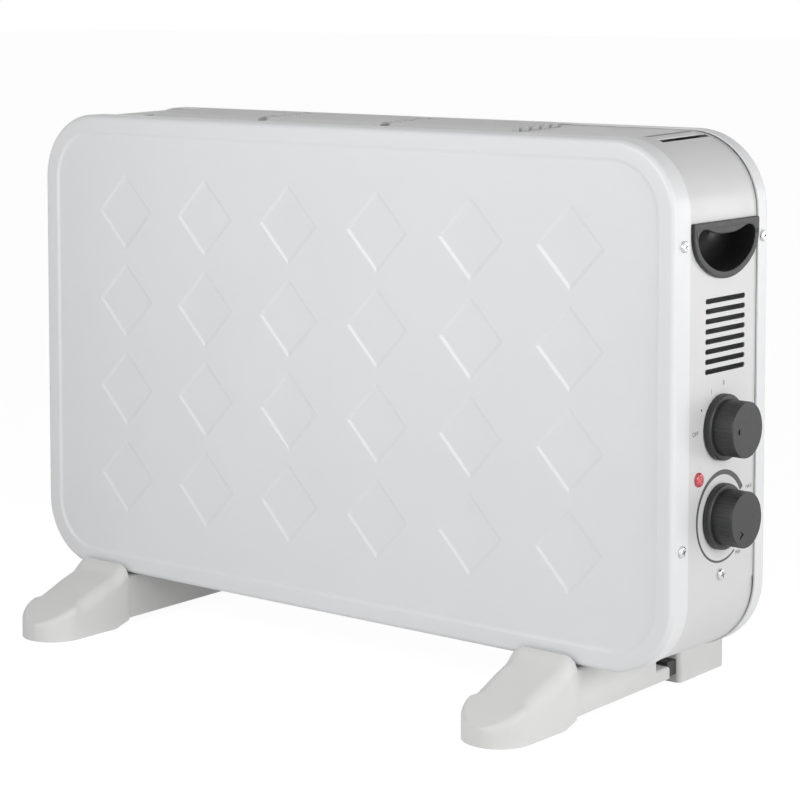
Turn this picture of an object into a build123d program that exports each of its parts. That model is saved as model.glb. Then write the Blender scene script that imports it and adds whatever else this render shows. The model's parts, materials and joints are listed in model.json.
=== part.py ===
from build123d import *
from math import atan, degrees
import os

os.makedirs("parts", exist_ok=True)

# Millimetres. X runs along the heater, Y from front to back, Z up from the floor.

# Front cover: a shallow pressed pan
FRONT_W = 580.0
FRONT_H = 354.0
FRONT_BOTTOM = 40.0
BODY_D = 115.0
CORNER_R = 50.0
SHEET = 0.8
FRONT_FLANGE = 19.0
EDGE_ROUND = ((0.0, 4.0), (0.54, 2.0), (2.0, 0.54), (4.0, 0.0))
EDGE_PLAIN = ((0.0, 2.7), (2.7, 0.0))
EDGE_INSIDE = ((0.0, 2.4), (2.4, 0.0))

# Rear cover: a wider and taller pan
REAR_SIDE_STEP = 2.5
REAR_RISE = 1.9
REAR_FLANGE = 14.0
RELIEF_LEFT = -185.0
RELIEF_RIGHT = -35.0
RELIEF_TAPER = 40.0
RELIEF_DEPTH = 8.0
RELIEF_SKIN = 0.3

# Pressed field and diamonds
FIELD_INSET = 13.0
FIELD_BEVEL = 2.0
FIELD_DEPTH = 1.2
DIAMOND_COLUMNS = 6
DIAMOND_ROWS = 4
DIAMOND_PITCH_X = 82.2
DIAMOND_PITCH_Z = 68.2
DIAMOND_HALF_W = 27.4
DIAMOND_HALF_H = 28.95
DIAMOND_DEPTH = 0.9
DIAMOND_BEVEL = 1.7
DIAMOND_SHIFT = 2.0

# Casing wrap and base pan, both flaring from the front cover to the rear one
WRAP_GAP = 0.1
WRAP_CORNER_R = 51.5
WRAP_FRONT = -53.0
WRAP_BACK = 53.0
WRAP_FLARE = 2.2
WRAP_LOW_EDGE = 53.5
PAN_RISE = 67.0
PAN_CORNER_R = 47.5

# Side vents
VENT_COUNT = 8
VENT_PITCH = 6.67
VENT_LENGTH = 49.0
VENT_HEIGHT = 3.5
VENT_Y = 5.5
VENT_BELOW_TOP = 107.3

# Handle cups
HANDLE_Y = 2.75
HANDLE_W = 80.5
HANDLE_DROP = 54.8
HANDLE_SIDE = 17.0
HANDLE_H = 38.5
HANDLE_ROUND = 24.0
HANDLE_PROUD = 3.0
HANDLE_RIM = 4.5
HANDLE_WALL = 3.0
HANDLE_DEPTH = 32.0
HANDLE_CORNER = 8.0
HANDLE_COVE = 8.0
HANDLE_COVE_TAPER = 35.0
HANDLE_BACK_INSET = 2.0
HANDLE_BACK_SIDES = 22
HANDLE_MOUTH_SIDES = 26
LIP_W = 56.0
LIP_DROP = 5.8
LIP_SWING = 0.72
LIP_T = 3.0

# Controls
KNOB_Y = 1.5
SELECTOR_UP = 161.5
THERMOSTAT_UP = 101.5
KNOB_STAND = 20.5
KNOB_CAP_D = 38.0
KNOB_EDGE = 1.0
KNOB_SKIRT_D = 44.4
KNOB_SKIRT_T = 5.5
KNOB_LIFT = 0.5
KNOB_SIDES = 48
KNOB_RIBS = 30
KNOB_RIB_DEPTH = 0.7
KNOB_RIM = 2.4
KNOB_WALL = 2.0
SHAFT_D = 6.0
SHAFT_FLAT = 1.4
SHAFT_GAP = 0.05
BUSHING_D = 9.5
BUSHING_HOLE = 10.0
BUSHING_PROUD = 4.4
NUT_ACROSS = 14.0
NUT_T = 2.4
SWITCH_SIZE = 30.0
SWITCH_DEPTH = 20.0
LAMP_D = 9.8
LAMP_STEM_D = 7.8
LAMP_HOLE = 8.2
LAMP_Y = -26.0
LAMP_UP = 130.0

# Top outlet
TOP_LEFT = -212.0
TOP_RIGHT = 147.0
TOP_FRONT = -28.0
TOP_BACK = 33.0
LOUVRE_ROWS = 5
LOUVRE_COLUMNS = 3
LOUVRE_PITCH = 12.0
LOUVRE_WIDTH = 9.0
LOUVRE_RISE = 3.3
LOUVRE_GAP = 9.0
GRILLE_MARGIN = 8.0
TOP_SLOT_X = (241.4, 253.3)
TOP_SLOT_W = (4.6, 5.4)
TOP_SLOT_FRONT = -19.0
TOP_SLOT_BACK = 42.0

# Bottom inlet
INLET_ROWS = 4
INLET_COLUMNS = 9
INLET_LENGTH = 38.0
INLET_WIDTH = 3.8
INLET_PITCH_X = 48.0
INLET_PITCH_Y = 9.0

# Screws
HEAD_D = 8.0
HEAD_H = 2.2
SHANK_D = 3.9
SHANK_HOLE = 4.1
SHANK_LENGTH = 9.0
FRONT_SCREW_Y = -47.5
REAR_SCREW_Y = 49.0
FRONT_SCREW_UP = (86.0, 285.3)
REAR_SCREW_UP = (285.3,)
PLATE_SCREW_Y = 2.0
PLATE_SCREW_UP = 62.0

# Feet
LEFT_FOOT_X = -225.5
RIGHT_FOOT_X = 191.5
TOE_R = 25.0
TOE_CENTRE_Y = -113.0
HORN_HALF = 26.5
HORN_BACK = -60.5
HORN_TOP = 47.0
BEAM_TOP = 38.0
BEAM_LIFT = 5.5
BEAM_SHOULDER = 40.0
BEAM_END = 58.0
BEAM_END_TOP = 14.0
HEEL_FRONT = 68.0
HEEL_BACK = 128.0
HEEL_HALF = 27.5
HEEL_TOP_FRONT = 34.0
HEEL_TOP_BACK = 22.0
LINK_HALF = 19.0
FOOT_WALL = 2.6
FOOT_RIB = 2.0
FOOT_SCREW_Y = (-27.0, 27.0)
BOSS_D = 13.0
BOSS_SEAT = 24.0
FOOT_SCREW_LENGTH = 22.0

# Heating chamber
ELEMENT_UP = (65.0, 130.0)
ELEMENT_LEFT = -224.0
ELEMENT_RIGHT = 206.0
ELEMENT_ARM = 36.0
ELEMENT_ARM_T = 1.8
ELEMENT_HUB_D = 14.0
CORE_D = 8.0
CORE_OUT = 17.0
CORE_GAP = 0.2
BRACKET_X = -234.0
SHIELD_X = 222.0
SHIELD_TOP = 348.0
CHAMBER_HALF = 50.0
BRACKET_TOP = 178.0
FLANGE = 12.0
INSULATOR_D = 20.0
INSULATOR_COLLAR_D = 26.0
GLAND_X = 250.0
GLAND_UP = 35.0
GLAND_D = 15.0

FRONT_Y = -BODY_D / 2
BACK_Y = BODY_D / 2
FRONT_TOP = FRONT_BOTTOM + FRONT_H
SLOPE = WRAP_FLARE / (WRAP_BACK - WRAP_FRONT)
FLARE_ANGLE = degrees(atan(SLOPE))
WRAP_INSET = SHEET + WRAP_GAP + SLOPE * (FRONT_Y + FRONT_FLANGE - WRAP_FRONT)
PLATE_X = FRONT_W / 2 - WRAP_INSET
PLATE_TOP = FRONT_TOP - WRAP_INSET
PAN_X = PLATE_X - SHEET - WRAP_GAP
PAN_BOTTOM = FRONT_BOTTOM + WRAP_INSET
REAR_HALF = FRONT_W / 2 + REAR_SIDE_STEP
REAR_BOTTOM = FRONT_BOTTOM - REAR_RISE
REAR_TOP = FRONT_TOP + REAR_RISE
FIELD_TAPER = degrees(atan(FIELD_BEVEL / FIELD_DEPTH))
DIAMOND_TAPER = degrees(atan(DIAMOND_BEVEL / DIAMOND_DEPTH))
SELECTOR_Z = FRONT_BOTTOM + SELECTOR_UP
THERMOSTAT_Z = FRONT_BOTTOM + THERMOSTAT_UP
LAMP_Z = FRONT_BOTTOM + LAMP_UP
HANDLE_TOP = FRONT_TOP - HANDLE_DROP
VENT_TOP_Z = FRONT_TOP - VENT_BELOW_TOP
ELEMENT_Z = [FRONT_BOTTOM + up for up in ELEMENT_UP]


def block(x, y, z):
    """Box from three (low, high) pairs."""
    size = [high - low for low, high in (x, y, z)]
    middle = [(high + low) / 2 for low, high in (x, y, z)]
    return Pos(*middle) * Box(*size)


def outline(half_w, z_low, z_high, radius, y_low, y_high):
    """Rounded rectangle seen from the front, drawn out along Y."""
    start = Plane((0, y_low, (z_low + z_high) / 2), x_dir=(1, 0, 0), z_dir=(0, 1, 0))
    face = start * RectangleRounded(2 * half_w, z_high - z_low, radius)
    return extrude(face, y_high - y_low)


def flared(half_w, z_low, z_high, radius, over=0.0):
    """Rounded rectangle from the front edge of the band to its back edge, growing on the way."""
    grow = SLOPE * over
    size = (2 * (half_w - grow), z_high - z_low - 2 * grow, radius - grow)
    start = Plane((0, WRAP_FRONT - over, (z_low + z_high) / 2), x_dir=(1, 0, 0), z_dir=(0, 1, 0))
    length = WRAP_BACK - WRAP_FRONT + 2 * over
    return extrude(start * RectangleRounded(*size), length, taper=-FLARE_ANGLE)


def grown(y):
    """How far the band has flared at y."""
    return SLOPE * (y - WRAP_FRONT)


def on_end(y, shape):
    """Stands a shape on the right end at y: its own X points outwards, its own Y along the end."""
    return Pos(PLATE_X + grown(y), y, 0) * Rot(0, 0, -FLARE_ANGLE) * shape


def side_plane(x, y=0.0, z=0.0):
    """Plane facing +X whose own axes are Y and Z."""
    return Plane((x, y, z), x_dir=(0, 1, 0), z_dir=(1, 0, 0))


def inward_plane(x, y=0.0, z=0.0):
    """Plane facing -X whose own axes are -Y and Z."""
    return Plane((x, y, z), x_dir=(0, -1, 0), z_dir=(-1, 0, 0))


def bore_x(diameter, y, z, x_low, x_high):
    """Round cutter along X."""
    return extrude(side_plane(x_low, y, z) * Circle(diameter / 2), x_high - x_low)


def both_ends(shape):
    """The shape and its mirror image at the other end of the heater."""
    return [shape, mirror(shape, Plane.YZ)]


def diamond_cutters(y):
    """Diamond pressings, from the floor of the field inwards."""
    half_w = DIAMOND_HALF_W
    half_h = DIAMOND_HALF_H
    rhombus = Polygon((half_w, 0), (0, half_h), (-half_w, 0), (0, -half_h))
    start = Plane((0, y, 0), x_dir=(1, 0, 0), z_dir=(0, 1, 0))
    one = extrude(start * rhombus, DIAMOND_DEPTH, taper=DIAMOND_TAPER)
    middle = FRONT_BOTTOM + FRONT_H / 2 + 1.4
    cutters = []
    for column in range(DIAMOND_COLUMNS):
        x = DIAMOND_SHIFT + (column - (DIAMOND_COLUMNS - 1) / 2) * DIAMOND_PITCH_X
        for row in range(DIAMOND_ROWS):
            z = middle + (row - (DIAMOND_ROWS - 1) / 2) * DIAMOND_PITCH_Z
            cutters.append(Pos(x, 0, z) * one)
    return cutters


def field_cutter(half_w, z_low, z_high, radius, y):
    """Shallow field inside the border line of a cover."""
    width = 2 * (half_w - FIELD_INSET)
    height = z_high - z_low - 2 * FIELD_INSET
    start = Plane((0, y, (z_low + z_high) / 2), x_dir=(1, 0, 0), z_dir=(0, 1, 0))
    face = start * RectangleRounded(width, height, radius - FIELD_INSET)
    return extrude(face, FIELD_DEPTH, taper=FIELD_TAPER)


def pan_block(half_w, z_low, z_high, radius, y_face, y_end, edge):
    """Rounded rectangle block whose front edge follows (inset, depth) steps."""
    middle = (z_low + z_high) / 2
    shape = outline(half_w, z_low, z_high, radius, y_face + edge[0][1], y_end)
    for (inset, depth), (next_inset, next_depth) in zip(edge, edge[1:]):
        start = Plane((0, y_face + depth, middle), x_dir=(1, 0, 0), z_dir=(0, -1, 0))
        face = RectangleRounded(2 * (half_w - inset), z_high - z_low - 2 * inset, radius - inset)
        run = depth - next_depth
        shape += extrude(start * face, run, taper=degrees(atan((next_inset - inset) / run)))
    return shape


def pan(half_w, z_low, z_high, radius, flange, pattern):
    """Pressed pan with its face at the front: skin less the same form one sheet in."""
    end = FRONT_Y + flange
    edge = EDGE_ROUND if pattern else EDGE_PLAIN
    skin = pan_block(half_w, z_low, z_high, radius, FRONT_Y, end, edge)
    core = pan_block(
        half_w - SHEET,
        z_low + SHEET,
        z_high - SHEET,
        radius - SHEET,
        FRONT_Y + SHEET,
        end + 1,
        EDGE_INSIDE,
    )
    skin -= field_cutter(half_w, z_low, z_high, radius, FRONT_Y)
    core -= field_cutter(half_w, z_low, z_high, radius, FRONT_Y + SHEET)
    if pattern:
        skin -= diamond_cutters(FRONT_Y + FIELD_DEPTH)
        core -= diamond_cutters(FRONT_Y + FIELD_DEPTH + SHEET)
    return skin - core


def screw_spots(y, ups):
    """Flange screw centres at the right end."""
    return [(y, FRONT_BOTTOM + up) for up in ups]


def screw_hole(y, z, x_low, x_high):
    """Eight-sided clearance hole along X, to match the screws' shanks."""
    face = side_plane(x_low, y, z) * RegularPolygon(SHANK_HOLE / 2, 8)
    return extrude(face, x_high - x_low)


def flange_holes(y, ups):
    """Holes for the flange screws at both ends."""
    cutters = []
    for spot_y, spot_z in screw_spots(y, ups):
        cutters += both_ends(screw_hole(spot_y, spot_z, PLATE_X - 5, REAR_HALF + 1))
    return cutters


def front_panel():
    """Front cover."""
    shape = pan(FRONT_W / 2, FRONT_BOTTOM, FRONT_TOP, CORNER_R, FRONT_FLANGE, True)
    return shape - flange_holes(FRONT_SCREW_Y, FRONT_SCREW_UP)


def relief(y):
    """Thinned lip in the top of the rear flange, fading out to the left."""
    low = REAR_TOP - SHEET - 1
    high = REAR_TOP - RELIEF_SKIN
    start = RELIEF_LEFT - RELIEF_TAPER
    points = [(start, low), (RELIEF_RIGHT, low), (RELIEF_RIGHT, high), (RELIEF_LEFT, high)]
    face = Plane((0, y - 1, 0), x_dir=(1, 0, 0), z_dir=(0, -1, 0)) * Polygon(*points)
    return extrude(face, -(RELIEF_DEPTH + 1))


def gland_bore(x, z, diameter):
    """Round cutter through the rear cover."""
    start = Plane((x, BACK_Y - 12, z), x_dir=(1, 0, 0), z_dir=(0, 1, 0))
    return extrude(start * RegularPolygon(diameter / 2, 24), 20)


def rear_panel():
    """Rear cover: wider than the front one, with a plain field."""
    radius = CORNER_R + REAR_SIDE_STEP
    shape = pan(REAR_HALF, REAR_BOTTOM, REAR_TOP, radius, REAR_FLANGE, False)
    shape = mirror(shape, Plane.XZ)
    shape -= relief(BACK_Y - REAR_FLANGE)
    shape -= flange_holes(REAR_SCREW_Y, REAR_SCREW_UP)
    return shape - gland_bore(GLAND_X, FRONT_BOTTOM + GLAND_UP, GLAND_D)


def ring_sheet(half_w, z_low, z_high, radius):
    """Sheet bent round the whole outline, flaring towards the back."""
    inside = (half_w - SHEET, z_low + SHEET, z_high - SHEET, radius - SHEET)
    return flared(half_w, z_low, z_high, radius) - flared(*inside, over=1.0)


def handle_face(inset):
    """Outline of the handle cup about its own centre line, Z measured from its top edge."""
    half = HANDLE_W / 2 - inset
    top = -inset
    side = -HANDLE_SIDE
    low = inset - HANDLE_H
    edges = [
        Line((-half, side), (-half, top)),
        Line((-half, top), (half, top)),
        Line((half, top), (half, side)),
        ThreePointArc((half, side), (0, low), (-half, side)),
    ]
    face = make_face(edges)
    return fillet(face.vertices().group_by(Axis.Y)[0], HANDLE_ROUND - inset)


def handle_mouth():
    """Opening of the grip recess, rounded at the top corners too."""
    width = HANDLE_W - 2 * HANDLE_RIM
    rounded = Pos(0, -HANDLE_RIM - HANDLE_H / 2) * RectangleRounded(width, HANDLE_H, HANDLE_CORNER)
    rim = (handle_face(HANDLE_RIM) & rounded).face().outer_wire()
    return sided(rim, HANDLE_MOUTH_SIDES)


def sided(rim, sides):
    """Outline of straight sides whose corners lie on a closed curve."""
    corners = [rim.position_at(side / sides) for side in range(sides)]
    return make_face(Polyline(*corners, close=True))


def handle_back():
    """Outline of the cup behind the plate, just outside the cavity."""
    return sided(handle_face(HANDLE_BACK_INSET).face().outer_wire(), HANDLE_BACK_SIDES)


def handle_cutter():
    """Hole in the casing wrap that the cup passes through."""
    start = inward_plane(2, 0, HANDLE_TOP)
    hole = extrude(start * offset(handle_back(), 0.3, kind=Kind.INTERSECTION), 12)
    return on_end(HANDLE_Y, hole)


def vent_cutters():
    """Column of slots under the handle, with rounded-off ends."""
    slot = Rectangle(VENT_LENGTH, VENT_HEIGHT)
    slot = chamfer(slot.vertices(), VENT_HEIGHT * 0.3)
    cutters = []
    for row in range(VENT_COUNT):
        z = VENT_TOP_Z - row * VENT_PITCH
        cutters.append(on_end(VENT_Y, extrude(side_plane(-3, 0, z) * slot, 6)))
    return cutters


def top_slot_cutters():
    """Two slots across the top near the control end."""
    cutters = []
    for x, width in zip(TOP_SLOT_X, TOP_SLOT_W):
        y = (TOP_SLOT_FRONT, TOP_SLOT_BACK)
        cutters.append(block((x - width / 2, x + width / 2), y, (PLATE_TOP - 12, PLATE_TOP + 2)))
    return cutters


def casing_wrap():
    """Band over the left end, the top and the right end."""
    shape = ring_sheet(PLATE_X, 0, PLATE_TOP, WRAP_CORNER_R)
    shape -= block((-400, 400), (-100, 100), (-10, FRONT_BOTTOM + WRAP_LOW_EDGE))
    shape -= block((TOP_LEFT, TOP_RIGHT), (TOP_FRONT, TOP_BACK), (PLATE_TOP - 5, PLATE_TOP + 5))
    shape -= both_ends(handle_cutter())
    shape -= vent_cutters() + top_slot_cutters()
    for z in (SELECTOR_Z, THERMOSTAT_Z):
        shape -= on_end(KNOB_Y, bore_x(BUSHING_HOLE, 0, z, -5, 5))
    shape -= on_end(LAMP_Y, bore_x(LAMP_HOLE, 0, LAMP_Z, -5, 5))
    shape -= flange_holes(FRONT_SCREW_Y, FRONT_SCREW_UP)
    shape -= flange_holes(REAR_SCREW_Y, REAR_SCREW_UP)
    return shape - plate_screw_holes()


def plate_screw_holes():
    """Holes of the screws that tie the wrap to the base pan."""
    z = FRONT_BOTTOM + PLATE_SCREW_UP
    return both_ends(on_end(PLATE_SCREW_Y, screw_hole(0, z, -6, 5)))


def inlet_cutters():
    """Air slots in the bottom."""
    slot = Pos(0, 0, PAN_BOTTOM) * Box(INLET_LENGTH, INLET_WIDTH, 6)
    cutters = []
    for column in range(INLET_COLUMNS):
        x = (column - (INLET_COLUMNS - 1) / 2) * INLET_PITCH_X
        for row in range(INLET_ROWS):
            y = (row - (INLET_ROWS - 1) / 2) * INLET_PITCH_Y
            cutters.append(Pos(x, y, 0) * slot)
    return cutters


def foot_screw_holes():
    """Holes of the foot screws through the bottom."""
    hole = extrude(RegularPolygon(SHANK_HOLE / 2, 8), 8)
    spots = [(x, y) for x in (LEFT_FOOT_X, RIGHT_FOOT_X) for y in FOOT_SCREW_Y]
    return [Pos(x, y, PAN_BOTTOM - 4) * hole for x, y in spots]


def base_pan():
    """Lower band: bottom, both lower corners and a rim tucked behind the wrap."""
    shape = ring_sheet(PAN_X, PAN_BOTTOM, 600, PAN_CORNER_R)
    shape -= block((-400, 400), (-100, 100), (FRONT_BOTTOM + PAN_RISE, 700))
    shape -= inlet_cutters() + foot_screw_holes()
    return shape - plate_screw_holes()


def louvre_profile(shrink):
    """Section of one hooded louvre, open towards the back."""
    half = LOUVRE_WIDTH / 2
    rise = LOUVRE_RISE - shrink
    front = -half + shrink * 1.6
    return Polygon((front, 0), (half, 0), (half, rise), (half - 3.5, rise), (front + 1.8, rise * 0.62))


def outlet_grille():
    """Louvred sheet under the opening in the top."""
    x = (TOP_LEFT - GRILLE_MARGIN, TOP_RIGHT + GRILLE_MARGIN)
    y = (TOP_FRONT - GRILLE_MARGIN, TOP_BACK + GRILLE_MARGIN)
    shape = block(x, y, (-SHEET, 0))
    width = (TOP_RIGHT - TOP_LEFT - (LOUVRE_COLUMNS + 1) * LOUVRE_GAP) / LOUVRE_COLUMNS
    hoods = []
    voids = []
    for row in range(LOUVRE_ROWS):
        y = (TOP_FRONT + TOP_BACK) / 2 + (row - (LOUVRE_ROWS - 1) / 2) * LOUVRE_PITCH
        for column in range(LOUVRE_COLUMNS):
            x = TOP_LEFT + LOUVRE_GAP + column * (width + LOUVRE_GAP)
            hoods.append(extrude(side_plane(x, y, 0) * louvre_profile(0), width))
            inner = extrude(side_plane(x + SHEET, y, 0) * louvre_profile(SHEET), width - 2 * SHEET)
            voids.append(inner)
            slot_y = (y - LOUVRE_WIDTH / 2 + SHEET * 1.6, y + LOUVRE_WIDTH / 2)
            slot_x = (x + SHEET, x + width - SHEET)
            voids.append(block(slot_x, slot_y, (-2, 0.01)))
    height = PLATE_TOP + grown(0) - SHEET
    return Pos(0, 0, height) * Rot(FLARE_ANGLE, 0, 0) * ((shape + hoods) - voids)


def handle_cavity():
    """Space for the fingers, rounded off towards its floor."""
    mouth = handle_mouth()
    straight = extrude(inward_plane(HANDLE_PROUD, 0, HANDLE_TOP) * mouth, HANDLE_DEPTH - HANDLE_COVE)
    floor = straight.faces().sort_by(Axis.X)[0]
    return straight + extrude(floor, HANDLE_COVE, taper=HANDLE_COVE_TAPER)


def handle_cup():
    """Moulded grip recess at the right end."""
    front = inward_plane(HANDLE_PROUD, 0, HANDLE_TOP)
    rim = extrude(front * handle_face(0), HANDLE_PROUD)
    rim = chamfer(rim.edges().group_by(Axis.X)[-1], 0.7)
    depth = HANDLE_DEPTH - HANDLE_PROUD + HANDLE_WALL
    body = extrude(inward_plane(0, 0, HANDLE_TOP) * handle_back(), depth)
    return on_end(HANDLE_Y, (rim + body - handle_cavity()) + finger_lip())


def finger_lip():
    """Bulge of the upper rim that the fingers close round."""
    half = LIP_W / 2
    edge = -HANDLE_RIM
    root = edge + 1.5
    low = edge - LIP_DROP
    swing = LIP_SWING * half
    bend = edge - (1 - LIP_SWING) * LIP_DROP
    left = TangentArc((-half, edge), (-swing, bend), tangent=(1, 0))
    right = TangentArc((half, edge), (swing, bend), tangent=(-1, 0))
    edges = [
        left,
        ThreePointArc((-swing, bend), (0, low), (swing, bend)),
        right,
        Line((half, edge), (half, root)),
        Line((half, root), (-half, root)),
        Line((-half, root), (-half, edge)),
    ]
    start = inward_plane(HANDLE_PROUD - 0.7, 0, HANDLE_TOP)
    return extrude(start * make_face(edges), LIP_T)


def knob():
    """Control knob standing on z = 0, pointer towards -X of its own frame."""
    skirt = extrude(RegularPolygon(KNOB_SKIRT_D / 2, KNOB_SIDES), KNOB_SKIRT_T - KNOB_LIFT)
    skirt = chamfer(skirt.edges().group_by(Axis.Z)[-1], 1.6)
    grip = extrude(ribbed_face(), KNOB_STAND - KNOB_RIM - KNOB_LIFT)
    rim = extrude(RegularPolygon(KNOB_CAP_D / 2, KNOB_SIDES), KNOB_RIM)
    rim = chamfer(rim.edges().group_by(Axis.Z)[-1], KNOB_EDGE)
    body = Pos(0, 0, KNOB_LIFT) * (skirt + grip) + Pos(0, 0, KNOB_STAND - KNOB_RIM) * rim
    hollow = RegularPolygon(KNOB_CAP_D / 2 - KNOB_WALL, 16)
    body -= extrude(hollow, BUSHING_PROUD + 0.6)
    return body - shaft_section(SHAFT_GAP, -1, KNOB_STAND - 4) - pointer()


def ribbed_face():
    """Section of the grip: alternate crests and grooves all round."""
    points = []
    for number in range(KNOB_RIBS):
        turn = 360 / KNOB_RIBS
        crest = Vector(KNOB_CAP_D / 2 - 0.3, 0)
        groove = Vector(KNOB_CAP_D / 2 - KNOB_RIB_DEPTH - 0.3, 0)
        points.append(crest.rotate(Axis.Z, number * turn))
        points.append(groove.rotate(Axis.Z, (number + 0.5) * turn))
    return Polygon(*points)


def pointer():
    """Small triangular dent near the rim of the knob's face."""
    dent = Polygon((-13.6, 0), (-9.2, -1.9), (-9.2, 1.9))
    return extrude(Plane((0, 0, KNOB_STAND + 1)) * dent, -1.7)


def shaft_section(gap, z_low, z_high):
    """Round shaft with one flat."""
    rod = Pos(0, 0, z_low) * Cylinder(
        SHAFT_D / 2 + gap, z_high - z_low, align=(Align.CENTER, Align.CENTER, Align.MIN)
    )
    flat = SHAFT_D / 2 - SHAFT_FLAT + gap
    return rod - block((flat, 10), (-10, 10), (z_low - 1, z_high + 1))


def shaft():
    """Control shaft: round in its bushing, flatted inside the knob."""
    low = -SHEET - 6
    rod = Pos(0, 0, low) * Cylinder(
        SHAFT_D / 2, BUSHING_PROUD + 0.6 - low, align=(Align.CENTER, Align.CENTER, Align.MIN)
    )
    return rod + shaft_section(0, BUSHING_PROUD, KNOB_STAND - 4.5)


def on_plate(shape, z):
    """Stands a control piece on the right end at height z."""
    return on_end(KNOB_Y, side_plane(0, 0, z) * shape)


def collar(low):
    """Bushing through the plate with its nut in front."""
    upright = (Align.CENTER, Align.CENTER, Align.MIN)
    tube = Pos(0, 0, low) * extrude(RegularPolygon(BUSHING_D / 2, 16), BUSHING_PROUD - low)
    nut = extrude(RegularPolygon(NUT_ACROSS / 2, 6, major_radius=False), NUT_T)
    bore = Pos(0, 0, low - 4.4) * Cylinder(SHAFT_D / 2 + SHAFT_GAP, 40, align=upright)
    return tube + nut, bore


def selector_body():
    """Rotary switch behind the plate, with its bushing, nut and terminals."""
    low = -SHEET
    half = SWITCH_SIZE / 2
    deep = low - SWITCH_DEPTH
    body = block((-half, half), (-half, half), (deep, low))
    body = chamfer(body.edges().filter_by(Axis.Z), 3)
    tube, bore = collar(low - 2)
    for x in (-10, -3.5, 3.5, 10):
        body += block((x - 0.4, x + 0.4), (-3.15, 3.15), (deep - 8, deep + 1))
    return body + tube - bore


def thermostat_body():
    """Bimetal thermostat on a metal plate, with its bushing, nut and terminals."""
    low = -SHEET
    plate = block((-11, 11), (-19, 19), (low - 1.2, low))
    stack = block((-9, 9), (-15, 15), (low - 15, low - 1))
    stack = chamfer(stack.edges().filter_by(Axis.Y).group_by(Axis.Z)[0], 2)
    arm = block((-4, 4), (-15, 22), (low - 18, low - 14.5))
    tube, bore = collar(low - 2)
    blades = []
    for y in (-12, 12):
        blades.append(block((-3.15, 3.15), (y - 0.4, y + 0.4), (low - 26, low - 14)))
    return plate + stack + arm + blades + tube - bore


def on_lamp(shape):
    """Stands a piece on the plate at the lamp."""
    return on_end(LAMP_Y, side_plane(0, 0, LAMP_Z) * shape)


def indicator_lens():
    """Domed lens with a stem through the plate."""
    dome = extrude(RegularPolygon(LAMP_D / 2, 24), 2.2)
    dome = chamfer(dome.edges().group_by(Axis.Z)[-1], 1.3)
    return on_lamp(dome + extrude(RegularPolygon(LAMP_STEM_D / 2, 16), -11))


def indicator_holder():
    """Square sleeve on the lens stem behind the plate, with two tags."""
    sleeve = block((-6, 6), (-6, 6), (-16, 0))
    sleeve -= extrude(RegularPolygon(LAMP_STEM_D / 2 + 0.1, 16), -10.6)
    for x in (-3, 3):
        sleeve += block((x - 0.4, x + 0.4), (-1.5, 1.5), (-23, -15))
    return on_lamp(Pos(0, 0, -SHEET) * sleeve)


def screw(length=SHANK_LENGTH):
    """Pan-head screw seated on z = 0 with a plain eight-sided shank below."""
    head = extrude(RegularPolygon(HEAD_D / 2, 12), HEAD_H)
    head = chamfer(head.edges().group_by(Axis.Z)[-1], 0.8)
    shank = extrude(RegularPolygon(SHANK_D / 2, 8), -length)
    return head + shank


def end_screws(x, spots):
    """Screws driven into both ends from outside."""
    group = []
    for y, z in spots:
        group += both_ends(side_plane(x, y, z) * screw())
    return group


def plate_screws():
    """Screws that tie the wrap to the base pan, one at each end."""
    z = FRONT_BOTTOM + PLATE_SCREW_UP
    return both_ends(on_end(PLATE_SCREW_Y, side_plane(0, 0, z) * screw()))


def foot_profile():
    """Side view of toe, horn and beam: arcs that run on from one another."""
    slope = Line((-138.0, 13.5), (-122.0, 14.3))
    dip = TangentArc((-122.0, 14.3), (-106.0, 21.2), tangent=slope % 1)
    crown = TangentArc((-106.0, 21.2), (-76.0, 35.0), tangent=dip % 1)
    rise = TangentArc((-76.0, 35.0), (-70.0, 40.2), tangent=crown % 1)
    brow = TangentArc((-70.0, 40.2), (-63.5, HORN_TOP), tangent=rise % 1)
    heel_arc = TangentArc((-57.0, BEAM_LIFT), (-66.0, BEAM_LIFT / 2), tangent=(-1, 0))
    toe_arc = TangentArc((-75.0, 0.0), (-66.0, BEAM_LIFT / 2), tangent=(1, 0))
    edges = [
        Line((-138.0, 0.0), (-138.0, 13.5)),
        slope,
        dip,
        crown,
        rise,
        brow,
        Line((-63.5, HORN_TOP), (HORN_BACK, HORN_TOP)),
        Line((HORN_BACK, HORN_TOP), (HORN_BACK, BEAM_TOP)),
        Line((HORN_BACK, BEAM_TOP), (BEAM_SHOULDER, BEAM_TOP)),
        Line((BEAM_SHOULDER, BEAM_TOP), (BEAM_SHOULDER, BEAM_END_TOP)),
        Line((BEAM_SHOULDER, BEAM_END_TOP), (BEAM_END, BEAM_END_TOP)),
        Line((BEAM_END, BEAM_END_TOP), (BEAM_END, BEAM_LIFT)),
        Line((BEAM_END, BEAM_LIFT), (-57.0, BEAM_LIFT)),
        heel_arc,
        toe_arc,
        Line((-75.0, 0.0), (-138.0, 0.0)),
    ]
    return make_face(edges)


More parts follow.
